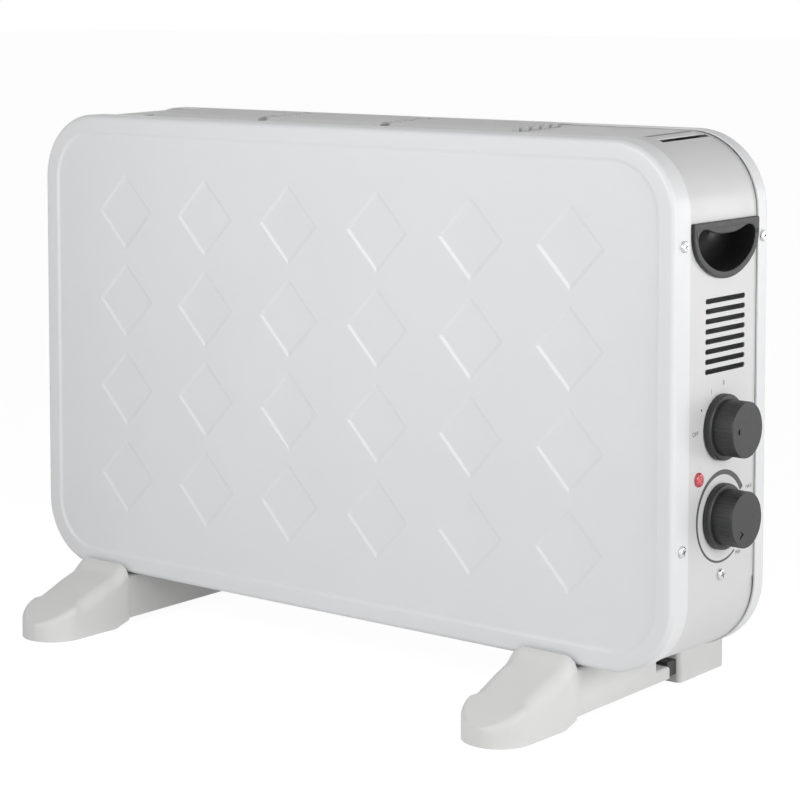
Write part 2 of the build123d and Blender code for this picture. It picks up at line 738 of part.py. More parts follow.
def foot_plan(inset):
    """Plan of toe and beam: round toe, slight widening to the horn, narrower beam."""
    toe = TOE_R - inset
    horn = HORN_HALF - inset
    beam = TOE_R - inset
    tip = TOE_CENTRE_Y
    back = BEAM_END - inset
    edges = [
        ThreePointArc((-toe, tip), (0, tip - toe), (toe, tip)),
        Line((toe, tip), (horn, -73.0)),
        Line((horn, -73.0), (horn, HORN_BACK - inset)),
        Line((horn, HORN_BACK - inset), (beam, HORN_BACK + 3 - inset)),
        Line((beam, HORN_BACK + 3 - inset), (beam, back)),
        Line((beam, back), (-beam, back)),
        Line((-beam, back), (-beam, HORN_BACK + 3 - inset)),
        Line((-beam, HORN_BACK + 3 - inset), (-horn, HORN_BACK - inset)),
        Line((-horn, HORN_BACK - inset), (-horn, -73.0)),
        Line((-horn, -73.0), (-toe, tip)),
    ]
    return make_face(edges)


def foot_skin():
    """Outer form of toe, horn and beam."""
    side = extrude(side_plane(-40) * foot_profile(), 80)
    plan = extrude(Plane((0, 0, -5)) * foot_plan(0), 70)
    return side & plan


def foot_hollow():
    """Space inside toe and beam, open at the sole."""
    wall = FOOT_WALL
    points = [
        (-138.0, -2.0),
        (BEAM_END, -2.0),
        (BEAM_END, BEAM_END_TOP - wall),
        (BEAM_SHOULDER - wall, BEAM_END_TOP - wall),
        (BEAM_SHOULDER - wall, BEAM_TOP - wall),
        (HORN_BACK, BEAM_TOP - wall),
        (-75.0, 34.6 - wall),
        (-90.0, 30.4 - wall),
        (-103.5, 23.4 - wall),
        (-112.0, 17.0 - wall),
        (-122.0, 14.2 - wall),
        (-138.0, 13.5 - wall),
    ]
    side = extrude(side_plane(-40) * Polygon(*points), 80)
    plan = extrude(Plane((0, 0, -5)) * foot_plan(wall), 70)
    return side & plan


def heel():
    """Rear block of the foot and the narrow link to the beam."""
    points = [
        (HEEL_FRONT, 4.5),
        (HEEL_FRONT + 4, 1.2),
        (90.0, 0.0),
        (HEEL_BACK, 0.0),
        (HEEL_BACK, HEEL_TOP_BACK),
        (HEEL_FRONT, HEEL_TOP_FRONT),
    ]
    outer = extrude(side_plane(-HEEL_HALF) * Polygon(*points), 2 * HEEL_HALF)
    outer = fillet(outer.edges().filter_by(Axis.Z).group_by(Axis.Y)[-1], 3.0)
    wall = FOOT_WALL
    inside = [
        (HEEL_FRONT + wall, -2.0),
        (HEEL_BACK - wall, -2.0),
        (HEEL_BACK - wall, HEEL_TOP_BACK - wall - 0.4),
        (HEEL_FRONT + wall, HEEL_TOP_FRONT - wall - 0.4),
    ]
    half = HEEL_HALF - wall
    hollow = extrude(side_plane(-half) * Polygon(*inside), 2 * half)
    link = block((-LINK_HALF, LINK_HALF), (BEAM_END - 1, HEEL_FRONT + 1), (BEAM_LIFT, BEAM_END_TOP))
    inner = LINK_HALF - wall
    gap = block((-inner, inner), (BEAM_END - wall - 1, HEEL_FRONT + wall + 1), (0, BEAM_END_TOP - wall))
    return (outer - hollow) + link, gap


def above_bottom():
    """Everything over the outside of the sloping bottom of the base pan."""
    points = [
        (WRAP_FRONT, PAN_BOTTOM),
        (WRAP_BACK, PAN_BOTTOM - grown(WRAP_BACK)),
        (WRAP_BACK, PAN_BOTTOM + 20),
        (WRAP_FRONT, PAN_BOTTOM + 20),
    ]
    return extrude(side_plane(-HORN_HALF) * Polygon(*points), 2 * HORN_HALF)


def foot():
    """Hollow moulded foot about its own centre line."""
    shape = foot_skin() - foot_hollow()
    block_heel, gap = heel()
    shape = shape + block_heel - gap
    ribs = []
    for y in (-100.0, -62.0, 5.0):
        high = 33.0 if y > -80 else 22.0
        rib = block((-TOE_R + 1.5, TOE_R - 1.5), (y, y + FOOT_RIB), (BEAM_LIFT + 1.5, high))
        ribs.append(rib)
    ribs.append(block((-HEEL_HALF + 1, HEEL_HALF - 1), (97, 97 + FOOT_RIB), (2, 26)))
    shape += ribs
    for y in FOOT_SCREW_Y:
        boss = extrude(RegularPolygon(BOSS_D / 2, 12), PAN_BOTTOM - BOSS_SEAT)
        shape += Pos(0, y, BOSS_SEAT) * boss
    shape -= above_bottom()
    hole = extrude(RegularPolygon(SHANK_HOLE / 2, 8), 40)
    return shape - [Pos(0, y, BOSS_SEAT - 10) * hole for y in FOOT_SCREW_Y]


def foot_screws():
    """Screws from below through the bosses into the base pan."""
    one = Rot(180, 0, 0) * screw(FOOT_SCREW_LENGTH)
    group = []
    for x in (LEFT_FOOT_X, RIGHT_FOOT_X):
        for y in FOOT_SCREW_Y:
            group.append(Pos(x, y, BOSS_SEAT) * one)
    return group


def element(z):
    """Finned element seen along X: hub, four arms with cross tips, and the core at both ends."""
    reach = ELEMENT_ARM
    half = ELEMENT_ARM_T / 2
    section = RegularPolygon(ELEMENT_HUB_D / 2, 8)
    for turn in (40, 140, 220, 320):
        arm = Pos(reach / 2, 0) * Rectangle(reach, 2 * half)
        arm += Pos(reach * 0.62, 0) * Rectangle(ELEMENT_ARM_T, 8)
        arm += Pos(reach, 0) * Rectangle(ELEMENT_ARM_T, 5)
        section += Rot(0, 0, turn) * arm
    fins = extrude(side_plane(ELEMENT_LEFT, 0, z) * section, ELEMENT_RIGHT - ELEMENT_LEFT)
    return fins + bore_x(CORE_D, 0, z, ELEMENT_LEFT - CORE_OUT, ELEMENT_RIGHT + CORE_OUT)


def element_insulators():
    """Shouldered square ceramic blocks at both ends of both elements."""
    half = INSULATOR_COLLAR_D / 2
    spigot = INSULATOR_D / 2
    hole = CORE_D / 2 + CORE_GAP
    bush = block((-half, half), (-half, half), (-6, 0)) + block((-spigot, spigot), (-spigot, spigot), (0, 4))
    bush -= block((-hole, hole), (-hole, hole), (-10, 10))
    group = []
    for z in ELEMENT_Z:
        group.append(side_plane(SHIELD_X, 0, z) * bush)
        group.append(inward_plane(BRACKET_X + SHEET, 0, z) * bush)
    return group


def upright(x_pair, y_pair, top, low=0.0):
    """Sheet that stands on the sloping floor of the base pan."""
    floor = [PAN_BOTTOM + SHEET - grown(y) for y in y_pair]
    high = [top or level + low for level in floor]
    points = [(y_pair[0], floor[0]), (y_pair[1], floor[1]), (y_pair[1], high[1]), (y_pair[0], high[0])]
    return extrude(side_plane(x_pair[0]) * Polygon(*points), x_pair[1] - x_pair[0])


def chamber_wall(x, top, direction):
    """Upright sheet standing on the base pan, flanged at the foot and both sides."""
    x_pair = sorted((x, x + direction * SHEET))
    flange = sorted((x, x + direction * FLANGE))
    y = (-CHAMBER_HALF, CHAMBER_HALF)
    shape = upright(x_pair, y, top) + upright(flange, y, None, SHEET)
    for side in (-1, 1):
        edge = sorted((side * CHAMBER_HALF, side * (CHAMBER_HALF - SHEET)))
        shape += upright(flange, edge, top)
    for z in ELEMENT_Z:
        half = INSULATOR_D / 2 + CORE_GAP
        shape -= block((x - 3, x + 3), (-half, half), (z - half, z + half))
    return shape - foot_screw_holes()


def heat_shield():
    """Wall between the heating chamber and the controls."""
    return chamber_wall(SHIELD_X, FRONT_BOTTOM + SHIELD_TOP, 1)


def element_bracket():
    """Wall that carries the far ends of the elements."""
    return chamber_wall(BRACKET_X, FRONT_BOTTOM + BRACKET_TOP, 1)


def thermal_cutout():
    """Disc cut-out on the chamber side of the shield."""
    z = FRONT_BOTTOM + 200
    plate = block((SHIELD_X - 0.8, SHIELD_X), (-15, 15), (z - 6, z + 6))
    disc = side_plane(SHIELD_X - 10, 0, z) * RegularPolygon(8, 16)
    return plate + extrude(disc, 9.6)


def terminal_block():
    """Three-way terminal block on the control side of the heat shield."""
    wall = SHIELD_X + SHEET
    z = FRONT_BOTTOM + 36
    body = block((wall, wall + 4), (-17, 17), (z - 14, z + 14))
    for y in (-11, 0, 11):
        body += block((wall + 3, wall + 16), (y - 4.2, y + 4.2), (z - 12, z + 12))
        body -= block((wall + 7, wall + 11), (y - 2, y + 2), (z - 15, z + 15))
    return body


def cord_gland():
    """Flanged bushing in the rear cover, without a cord."""
    x = GLAND_X
    z = FRONT_BOTTOM + GLAND_UP
    field_y = BACK_Y - FIELD_DEPTH
    axis_plane = Plane((x, field_y, z), x_dir=(1, 0, 0), z_dir=(0, 1, 0))
    ring = extrude(RegularPolygon(10, 24), 3)
    stem = extrude(RegularPolygon(GLAND_D / 2 - 0.2, 24), -7)
    cord_hole = extrude(RegularPolygon(4.0, 16), 20, both=True)
    return axis_plane * (ring + stem - cord_hole)


def save(node, shape):
    """Writes one node, shifted so that the origin is below the middle of the whole part."""
    solids = shape if isinstance(shape, list) else [shape]
    bodies = [solid for item in solids for solid in item.solids()]
    moved = [Pos(SHIFT_X, SHIFT_Y, 0) * body for body in bodies]
    whole = moved[0] if len(moved) == 1 else Compound(children=moved)
    whole.label = node
    export_step(whole, f"parts/{node}.step")


KNOB_REACH = PLATE_X + grown(KNOB_Y) + KNOB_STAND + SLOPE * (KNOB_CAP_D / 2 - KNOB_EDGE)
SHIFT_X = -(KNOB_REACH - REAR_HALF - HEAD_H) / 2
SHIFT_Y = -(HEEL_BACK + TOE_CENTRE_Y - TOE_R) / 2


def main():
    """Builds and writes every node."""
    save("front_panel", front_panel())
    save("rear_panel", rear_panel())
    save("casing_wrap", casing_wrap())
    save("base_pan", base_pan())
    save("outlet_grille", outlet_grille())
    cup = handle_cup()
    save("handle_cup_right", cup)
    save("handle_cup_left", mirror(cup, Plane.YZ))
    selector_turn = Rot(0, 0, 0)
    thermostat_turn = Rot(0, 0, 54)
    save("selector_knob", on_plate(selector_turn * knob(), SELECTOR_Z))
    save("selector_shaft", on_plate(selector_turn * shaft(), SELECTOR_Z))
    save("thermostat_knob", on_plate(thermostat_turn * knob(), THERMOSTAT_Z))
    save("thermostat_shaft", on_plate(thermostat_turn * shaft(), THERMOSTAT_Z))
    save("selector_switch", on_plate(selector_body(), SELECTOR_Z))
    save("thermostat", on_plate(thermostat_body(), THERMOSTAT_Z))
    save("indicator_lens", indicator_lens())
    save("indicator_holder", indicator_holder())
    front_spots = screw_spots(FRONT_SCREW_Y, FRONT_SCREW_UP)
    save("front_flange_screws", end_screws(FRONT_W / 2, front_spots))
    rear_spots = screw_spots(REAR_SCREW_Y, REAR_SCREW_UP)
    save("rear_flange_screws", end_screws(REAR_HALF, rear_spots))
    save("plate_screws", plate_screws())
    one_foot = foot()
    save("left_foot", Pos(LEFT_FOOT_X, 0, 0) * one_foot)
    save("right_foot", Pos(RIGHT_FOOT_X, 0, 0) * one_foot)
    save("foot_screws", foot_screws())
    save("element_lower", element(ELEMENT_Z[0]))
    save("element_upper", element(ELEMENT_Z[1]))
    save("element_insulators", element_insulators())
    save("heat_shield", heat_shield())
    save("element_bracket", element_bracket())
    save("thermal_cutout", thermal_cutout())
    save("terminal_block", terminal_block())
    save("cord_gland", cord_gland())


main()
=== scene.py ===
"""Electric panel heater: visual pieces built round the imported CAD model."""

import json
import math

import bpy
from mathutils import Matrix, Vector


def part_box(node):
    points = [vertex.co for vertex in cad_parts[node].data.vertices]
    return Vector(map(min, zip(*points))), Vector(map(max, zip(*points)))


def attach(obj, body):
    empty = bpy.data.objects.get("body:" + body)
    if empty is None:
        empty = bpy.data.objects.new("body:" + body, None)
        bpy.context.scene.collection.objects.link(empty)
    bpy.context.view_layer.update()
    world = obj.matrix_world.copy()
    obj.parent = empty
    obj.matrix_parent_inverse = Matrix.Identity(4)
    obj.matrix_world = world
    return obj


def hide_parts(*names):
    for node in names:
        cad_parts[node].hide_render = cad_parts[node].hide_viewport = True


bl_info = {
    "name": "Electric Panel Heater",
    "version": (1, 0, 0),
    "blender": (4, 5, 0),
    "location": "View3D > Sidebar > Heater",
    "description": "Builds the covers, band, knobs, screws and marks of a panel heater",
    "category": "Add Mesh",
}

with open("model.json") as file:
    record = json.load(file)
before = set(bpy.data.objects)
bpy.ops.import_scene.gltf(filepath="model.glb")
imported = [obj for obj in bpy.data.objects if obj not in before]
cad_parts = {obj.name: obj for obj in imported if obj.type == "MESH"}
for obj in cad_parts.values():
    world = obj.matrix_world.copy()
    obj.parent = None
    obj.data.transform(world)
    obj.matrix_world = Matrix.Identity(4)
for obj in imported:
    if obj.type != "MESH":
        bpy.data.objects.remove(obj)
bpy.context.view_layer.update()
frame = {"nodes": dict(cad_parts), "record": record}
MM = 0.001
KNOB_Y = 6.5 * MM
SELECTOR_Z = 201.5 * MM
THERMOSTAT_Z = 141.5 * MM
SCREW_HEAD_HEIGHT = 2.2 * MM
INK_LIFT = 0.03 * MM
INK_THICKNESS = 0.04 * MM
HALF_PI = math.pi / 2


class HeaterSizes(bpy.types.PropertyGroup):
    """Sizes of the pieces that are modelled round the CAD frame."""

    sheet: bpy.props.FloatProperty(
        name="Sheet", description="Thickness of the steel sheet", default=0.8 * MM, unit="LENGTH"
    )
    corner: bpy.props.FloatProperty(
        name="Cover corner", description="Corner radius of the front cover",
        default=50 * MM, unit="LENGTH",
    )
    edge: bpy.props.FloatProperty(
        name="Cover edge", description="Radius of the pressed edge", default=4 * MM, unit="LENGTH"
    )
    field_inset: bpy.props.FloatProperty(
        name="Field inset", description="Border outside the field", default=13 * MM, unit="LENGTH"
    )
    field_depth: bpy.props.FloatProperty(
        name="Field depth", description="Depth of the pressed field", default=1.2 * MM, unit="LENGTH"
    )
    field_bevel: bpy.props.FloatProperty(
        name="Field slope", description="Width of the field's sloping edge",
        default=2 * MM, unit="LENGTH",
    )
    diamond_half: bpy.props.FloatVectorProperty(
        name="Diamond", description="Half width and half height", size=2, default=(27.4 * MM, 28.95 * MM)
    )
    diamond_pitch: bpy.props.FloatVectorProperty(
        name="Diamond pitch", description="Spacing along X and Z", size=2, default=(82.2 * MM, 68.2 * MM)
    )
    diamond_depth: bpy.props.FloatProperty(
        name="Diamond depth", description="Depth of each pressing", default=0.9 * MM, unit="LENGTH"
    )
    diamond_shrink: bpy.props.FloatProperty(
        name="Diamond floor", description="Floor size as a share of the outline", default=0.9146
    )
    rear_step: bpy.props.FloatProperty(
        name="Rear step", description="How far the rear cover stands out past the front one",
        default=2.5 * MM, unit="LENGTH",
    )
    flare: bpy.props.FloatProperty(
        name="Band flare", description="Growth of the band from front to back",
        default=2.2 * MM, unit="LENGTH",
    )
    grip_width: bpy.props.FloatProperty(
        name="Grip width", description="Width of the grip recess", default=80.5 * MM, unit="LENGTH"
    )
    knob_ribs: bpy.props.IntProperty(name="Knob ribs", description="Grip ribs on each knob", default=44)
    screw_head: bpy.props.FloatProperty(
        name="Screw head", description="Diameter of the pan heads", default=8 * MM, unit="LENGTH"
    )


class HeaterFinishes(bpy.types.PropertyGroup):
    """Colours of the finishes."""

    cover: bpy.props.FloatVectorProperty(
        name="Covers", description="White powder coat", subtype="COLOR", size=3,
        default=(0.80, 0.81, 0.82),
    )
    band: bpy.props.FloatVectorProperty(
        name="Band", description="Silver-white paint", subtype="COLOR", size=3,
        default=(0.70, 0.705, 0.70),
    )
    foot: bpy.props.FloatVectorProperty(
        name="Feet", description="Grey-white moulding", subtype="COLOR", size=3,
        default=(0.74, 0.74, 0.73),
    )
    dark: bpy.props.FloatVectorProperty(
        name="Dark plastic", description="Knobs and grips", subtype="COLOR", size=3,
        default=(0.020, 0.0205, 0.0215),
    )
    lamp: bpy.props.FloatVectorProperty(
        name="Lamp", description="Red lens", subtype="COLOR", size=3, default=(0.55, 0.05, 0.07)
    )
    ink: bpy.props.FloatVectorProperty(
        name="Ink", description="Printed marks", subtype="COLOR", size=3, default=(0.07, 0.075, 0.07)
    )


class HeaterStudio(bpy.types.PropertyGroup):
    """Camera and lamps."""

    lens: bpy.props.FloatProperty(name="Lens", description="Focal length in mm", default=109.19)
    shift: bpy.props.FloatProperty(name="Shift", description="Vertical shift", default=-0.29)
    place: bpy.props.FloatVectorProperty(
        name="Camera", description="Camera place", size=3, subtype="TRANSLATION",
        default=(1.09919, -1.37656, 0.4907),
    )
    turn: bpy.props.FloatVectorProperty(
        name="Turn", description="Camera tilt, roll and heading in degrees", size=3,
        default=(85.79, 0.0, 38.2),
    )
    sky: bpy.props.FloatProperty(name="Sky", description="Strength of the even light", default=0.19)
    side: bpy.props.FloatProperty(name="Side lamp", description="Power in watts", default=7.0)
    front: bpy.props.FloatProperty(name="Front lamp", description="Power in watts", default=5.0)
    sheen: bpy.props.FloatProperty(name="Sheen lamp", description="Power in watts", default=9.0)


def sizes():
    return bpy.context.scene.heater_sizes


def finishes():
    return bpy.context.scene.heater_finishes


def deselect():
    """Nothing selected, object mode."""
    if bpy.context.mode != "OBJECT":
        bpy.ops.object.mode_set(mode="OBJECT")
    bpy.ops.object.select_all(action="DESELECT")


def activate(piece):
    """Selects one object alone."""
    deselect()
    piece.select_set(True)
    bpy.context.view_layer.objects.active = piece


def pick(piece, kind, test):
    """Selects the faces, edges or vertices that pass the test and stays in edit mode."""
    activate(piece)
    bpy.ops.object.mode_set(mode="EDIT")
    bpy.ops.mesh.select_mode(type=kind)
    bpy.ops.mesh.select_all(action="DESELECT")
    bpy.ops.object.mode_set(mode="OBJECT")
    mesh = piece.data
    if kind == "FACE":
        for face in mesh.polygons:
            face.select = test(face.center, face.normal)
    elif kind == "EDGE":
        for edge in mesh.edges:
            a, b = (mesh.vertices[i].co for i in edge.vertices)
            edge.select = test(a, b)
    else:
        for vertex in mesh.vertices:
            vertex.select = test(vertex.co)
    bpy.ops.object.mode_set(mode="EDIT")


def done_editing():
    bpy.ops.object.mode_set(mode="OBJECT")


def bevel_picked(width, segments, affect="EDGES"):
    """Rounds what is picked and leaves edit mode."""
    bpy.ops.mesh.bevel(
        offset=width, offset_type="OFFSET", segments=segments, profile=0.5, affect=affect
    )
    done_editing()


def near(a, b, slack=1e-5):
    return abs(a - b) < slack


def apply_place(piece):
    """Puts the object's place, turn and scale into its mesh."""
    activate(piece)
    bpy.ops.object.transform_apply(location=True, rotation=True, scale=True)


def apply_modifiers(piece):
    activate(piece)
    for modifier in list(piece.modifiers):
        bpy.ops.object.modifier_apply(modifier=modifier.name)


def soften(piece, width, segments, angle=30.0):
    """Rounds the sharp edges a little and applies it."""
    modifier = piece.modifiers.new("soft_edges", "BEVEL")
    modifier.width = width
    modifier.segments = segments
    modifier.limit_method = "ANGLE"
    modifier.angle_limit = math.radians(angle)
    modifier.use_clamp_overlap = True
    apply_modifiers(piece)


def smooth(piece, angle=35.0):
    """Smooth shading that keeps flat faces flat."""
    activate(piece)
    bpy.ops.object.shade_smooth_by_angle(angle=math.radians(angle))
    modifier = piece.modifiers.new("flat_faces", "WEIGHTED_NORMAL")
    modifier.keep_sharp = True
    modifier.weight = 100
    apply_modifiers(piece)


def carve(piece, cutters, operation="DIFFERENCE"):
    """Boolean with every cutter joined into one, which is then removed."""
    tool = joined(cutters, "cutter")
    modifier = piece.modifiers.new("carve", "BOOLEAN")
    modifier.operation = operation
    modifier.solver = "EXACT"
    modifier.object = tool
    apply_modifiers(piece)
    bpy.data.objects.remove(tool)


def joined(parts, name):
    """Joins meshes into one object."""
    deselect()
    for part in parts:
        part.select_set(True)
    bpy.context.view_layer.objects.active = parts[0]
    if len(parts) > 1:
        bpy.ops.object.join()
    whole = bpy.context.view_layer.objects.active
    whole.name = name
    return whole


def copied(piece, offset=(0, 0, 0)):
    """Copy with its own mesh, moved in its mesh."""
    activate(piece)
    bpy.ops.object.duplicate(linked=False)
    twin = bpy.context.view_layer.objects.active
    twin.location = Vector(offset)
    apply_place(twin)
    return twin


def mirrored(piece):
    """Mirror image in X with its faces turned outwards again."""
    twin = copied(piece)
    twin.scale = (-1, 1, 1)
    apply_place(twin)
    activate(twin)
    bpy.ops.object.mode_set(mode="EDIT")
    bpy.ops.mesh.select_all(action="SELECT")
    bpy.ops.mesh.normals_make_consistent(inside=False)
    done_editing()
    return twin


def close_normals(piece):
    activate(piece)
    bpy.ops.object.mode_set(mode="EDIT")
    bpy.ops.mesh.select_all(action="SELECT")
    bpy.ops.mesh.remove_doubles(threshold=1e-6)
    bpy.ops.mesh.normals_make_consistent(inside=False)
    done_editing()


def wall(piece, thickness):
    """Gives a sheet its thickness, inwards."""
    modifier = piece.modifiers.new("sheet", "SOLIDIFY")
    modifier.thickness = thickness
    modifier.offset = -1
    modifier.use_even_offset = True
    apply_modifiers(piece)


def bar(low, high):
    """Block between two corners."""
    deselect()
    low, high = Vector(low), Vector(high)
    bpy.ops.mesh.primitive_cube_add(size=1, location=(low + high) / 2)
    piece = bpy.context.view_layer.objects.active
    piece.scale = high - low
    apply_place(piece)
    return piece


def rod(centre, radius, depth, axis, sides=48):
    """Cylinder along X, Y or Z, centred on a point."""
    deselect()
    rotation = {"X": (0, HALF_PI, 0), "Y": (HALF_PI, 0, 0), "Z": (0, 0, 0)}[axis]
    bpy.ops.mesh.primitive_cylinder_add(
        vertices=sides, radius=radius, depth=depth, location=centre, rotation=rotation
    )
    piece = bpy.context.view_layer.objects.active
    apply_place(piece)
    return piece


def put(piece, name, finish, body="casing", nodes=()):
    """Names the piece, gives it its finish and hands it to the frame."""
    piece.name = name
    piece.data.name = name
    piece.data.materials.clear()
    piece.data.materials.append(finish)
    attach(piece, body)
    if nodes:
        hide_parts(*nodes)
    return piece


def material(name):
    """Empty node material with its shader and object coordinates."""
    finish = bpy.data.materials.get(name) or bpy.data.materials.new(name)
    finish.use_nodes = True
    tree = finish.node_tree
    tree.nodes.clear()
    output = tree.nodes.new("ShaderNodeOutputMaterial")
    shader = tree.nodes.new("ShaderNodeBsdfPrincipled")
    tree.links.new(shader.outputs["BSDF"], output.inputs["Surface"])
    place = tree.nodes.new("ShaderNodeTexCoord")
    return finish, tree, shader, place.outputs["Object"]


def noise(tree, place, scale, detail=2.0, roughness=0.5, stretch=None):
    node = tree.nodes.new("ShaderNodeTexNoise")
    node.inputs["Scale"].default_value = scale
    node.inputs["Detail"].default_value = detail
    node.inputs["Roughness"].default_value = roughness
    if stretch:
        mapping = tree.nodes.new("ShaderNodeMapping")
        mapping.inputs["Scale"].default_value = stretch
        tree.links.new(place, mapping.inputs["Vector"])
        place = mapping.outputs["Vector"]
    tree.links.new(place, node.inputs["Vector"])
    return node.outputs["Fac"]


def cells(tree, place, scale):
    node = tree.nodes.new("ShaderNodeTexVoronoi")
    node.inputs["Scale"].default_value = scale
    tree.links.new(place, node.inputs["Vector"])
    return node


def spread(tree, value, low, high):
    """Maps a noise value to a range."""
    node = tree.nodes.new("ShaderNodeMapRange")
    node.inputs["From Min"].default_value = 0.3
    node.inputs["From Max"].default_value = 0.7
    node.inputs["To Min"].default_value = low
    node.inputs["To Max"].default_value = high
    tree.links.new(value, node.inputs["Value"])
    return node.outputs["Result"]


def tint(tree, shader, value, dark, light):
    """Colour between two shades by a noise value."""
    node = tree.nodes.new("ShaderNodeValToRGB")
    ramp = node.color_ramp
    ramp.elements[0].position = 0.3
    ramp.elements[0].color = (*dark, 1)
    ramp.elements[1].position = 0.7
    ramp.elements[1].color = (*light, 1)
    tree.links.new(value, node.inputs["Fac"])
    tree.links.new(node.outputs["Color"], shader.inputs["Base Color"])


def relief(tree, shader, heights):
    """Chain of bumps; each is (value, strength, distance)."""
    last = None
    for value, strength, distance in heights:
        node = tree.nodes.new("ShaderNodeBump")
        node.inputs["Strength"].default_value = strength
        node.inputs["Distance"].default_value = distance
        tree.links.new(value, node.inputs["Height"])
        if last:
            tree.links.new(last, node.inputs["Normal"])
        last = node.outputs["Normal"]
    tree.links.new(last, shader.inputs["Normal"])


def shade(colour, factor):
    return tuple(min(1.0, c * factor) for c in colour)


def cover_paint():
    """White powder coat with a fine orange peel."""
    finish, tree, shader, place = material("cover_powder_coat")
    colour = finishes().cover
    tint(tree, shader, noise(tree, place, 9.0, 3.0), shade(colour, 0.985), shade(colour, 1.01))
    tree.links.new(spread(tree, noise(tree, place, 60.0, 2.0), 0.36, 0.43), shader.inputs["Roughness"])
    peel = noise(tree, place, 620.0, 2.0, 0.45)
    grain = noise(tree, place, 2600.0, 1.0)
    relief(tree, shader, [(peel, 0.10, 0.0002), (grain, 0.05, 0.00005)])
    shader.inputs["Coat Weight"].default_value = 0.15
    shader.inputs["Coat Roughness"].default_value = 0.2
    return finish


def band_paint():
    """Silver-white paint with a very fine flake."""
    finish, tree, shader, place = material("band_silver_white")
    colour = finishes().band
    flake = cells(tree, place, 5200.0)
    tint(tree, shader, flake.outputs["Distance"], shade(colour, 1.02), shade(colour, 0.955))
    tree.links.new(spread(tree, noise(tree, place, 45.0, 3.0), 0.36, 0.43), shader.inputs["Roughness"])
    relief(tree, shader, [(noise(tree, place, 900.0, 2.0), 0.06, 0.0001)])
    shader.inputs["Metallic"].default_value = 0.08
    shader.inputs["Specular IOR Level"].default_value = 0.3
    return finish


def foot_plastic():
    """Grey-white moulding with a fine spark-eroded grain."""
    finish, tree, shader, place = material("foot_moulding")
    colour = finishes().foot
    tint(tree, shader, noise(tree, place, 25.0, 3.0), shade(colour, 0.985), shade(colour, 1.01))
    tree.links.new(spread(tree, noise(tree, place, 300.0, 2.0), 0.5, 0.58), shader.inputs["Roughness"])
    grain = cells(tree, place, 2400.0)
    relief(tree, shader, [(grain.outputs["Distance"], 0.12, 0.00008)])
    return finish


def dark_plastic():
    """Dark grey moulding with a satin grain."""
    finish, tree, shader, place = material("dark_moulding")
    colour = finishes().dark
    tint(tree, shader, noise(tree, place, 220.0, 3.0), shade(colour, 0.92), shade(colour, 1.1))
    tree.links.new(spread(tree, noise(tree, place, 500.0, 2.0), 0.4, 0.5), shader.inputs["Roughness"])
    grain = cells(tree, place, 3600.0)
    relief(tree, shader, [(grain.outputs["Distance"], 0.15, 0.00006)])
    return finish


def screw_steel():
    """Bright plated steel with fine drawing marks."""
    finish, tree, shader, place = material("plated_steel")
    tint(tree, shader, noise(tree, place, 700.0, 3.0), (0.55, 0.55, 0.56), (0.72, 0.72, 0.72))
    tree.links.new(spread(tree, noise(tree, place, 1500.0, 2.0), 0.16, 0.3), shader.inputs["Roughness"])
    relief(tree, shader, [(noise(tree, place, 2500.0, 2.0), 0.1, 0.00003)])
    shader.inputs["Metallic"].default_value = 1.0
    return finish


def sheet_steel():
    """Galvanised sheet with a faint spangle."""
    finish, tree, shader, place = material("galvanised_sheet")
    spangle = cells(tree, place, 130.0)
    tint(tree, shader, spangle.outputs["Color"], (0.46, 0.47, 0.48), (0.58, 0.59, 0.60))
    tree.links.new(spread(tree, noise(tree, place, 90.0, 2.0), 0.35, 0.5), shader.inputs["Roughness"])
    relief(tree, shader, [(noise(tree, place, 600.0, 2.0), 0.08, 0.0001)])
    shader.inputs["Metallic"].default_value = 0.9
    return finish


def fin_aluminium():
    """Extruded aluminium, drawn along X."""
    finish, tree, shader, place = material("extruded_aluminium")
    lines = noise(tree, place, 1.0, 3.0, stretch=(15.0, 2600.0, 2600.0))
    tint(tree, shader, lines, (0.60, 0.60, 0.61), (0.76, 0.76, 0.77))
    tree.links.new(spread(tree, lines, 0.32, 0.46), shader.inputs["Roughness"])
    relief(tree, shader, [(lines, 0.12, 0.00005)])
    shader.inputs["Metallic"].default_value = 0.95
    return finish


def shaft_metal():
    """Turned steel."""
    finish, tree, shader, place = material("turned_steel")
    lines = noise(tree, place, 1.0, 2.0, stretch=(4000.0, 60.0, 60.0))
    tint(tree, shader, lines, (0.48, 0.48, 0.48), (0.62, 0.62, 0.62))
    tree.links.new(spread(tree, lines, 0.25, 0.38), shader.inputs["Roughness"])
    relief(tree, shader, [(lines, 0.15, 0.00003)])
    shader.inputs["Metallic"].default_value = 1.0
    return finish


def black_plastic():
    """Heat-resistant black moulding."""
    finish, tree, shader, place = material("switch_moulding")
    tint(tree, shader, noise(tree, place, 260.0, 3.0), (0.024, 0.024, 0.025), (0.036, 0.036, 0.036))
    tree.links.new(spread(tree, noise(tree, place, 400.0, 2.0), 0.45, 0.6), shader.inputs["Roughness"])
    relief(tree, shader, [(noise(tree, place, 2200.0, 2.0), 0.12, 0.00005)])
    return finish


def nylon():
    """Natural nylon of the terminal block."""
    finish, tree, shader, place = material("natural_nylon")
    tint(tree, shader, noise(tree, place, 120.0, 3.0), (0.74, 0.73, 0.68), (0.80, 0.79, 0.74))
    tree.links.new(spread(tree, noise(tree, place, 300.0, 2.0), 0.42, 0.52), shader.inputs["Roughness"])
    relief(tree, shader, [(noise(tree, place, 1800.0, 2.0), 0.08, 0.00005)])
    shader.inputs["Subsurface Weight"].default_value = 0.1
    shader.inputs["Subsurface Radius"].default_value = (0.002, 0.002, 0.0015)
    return finish


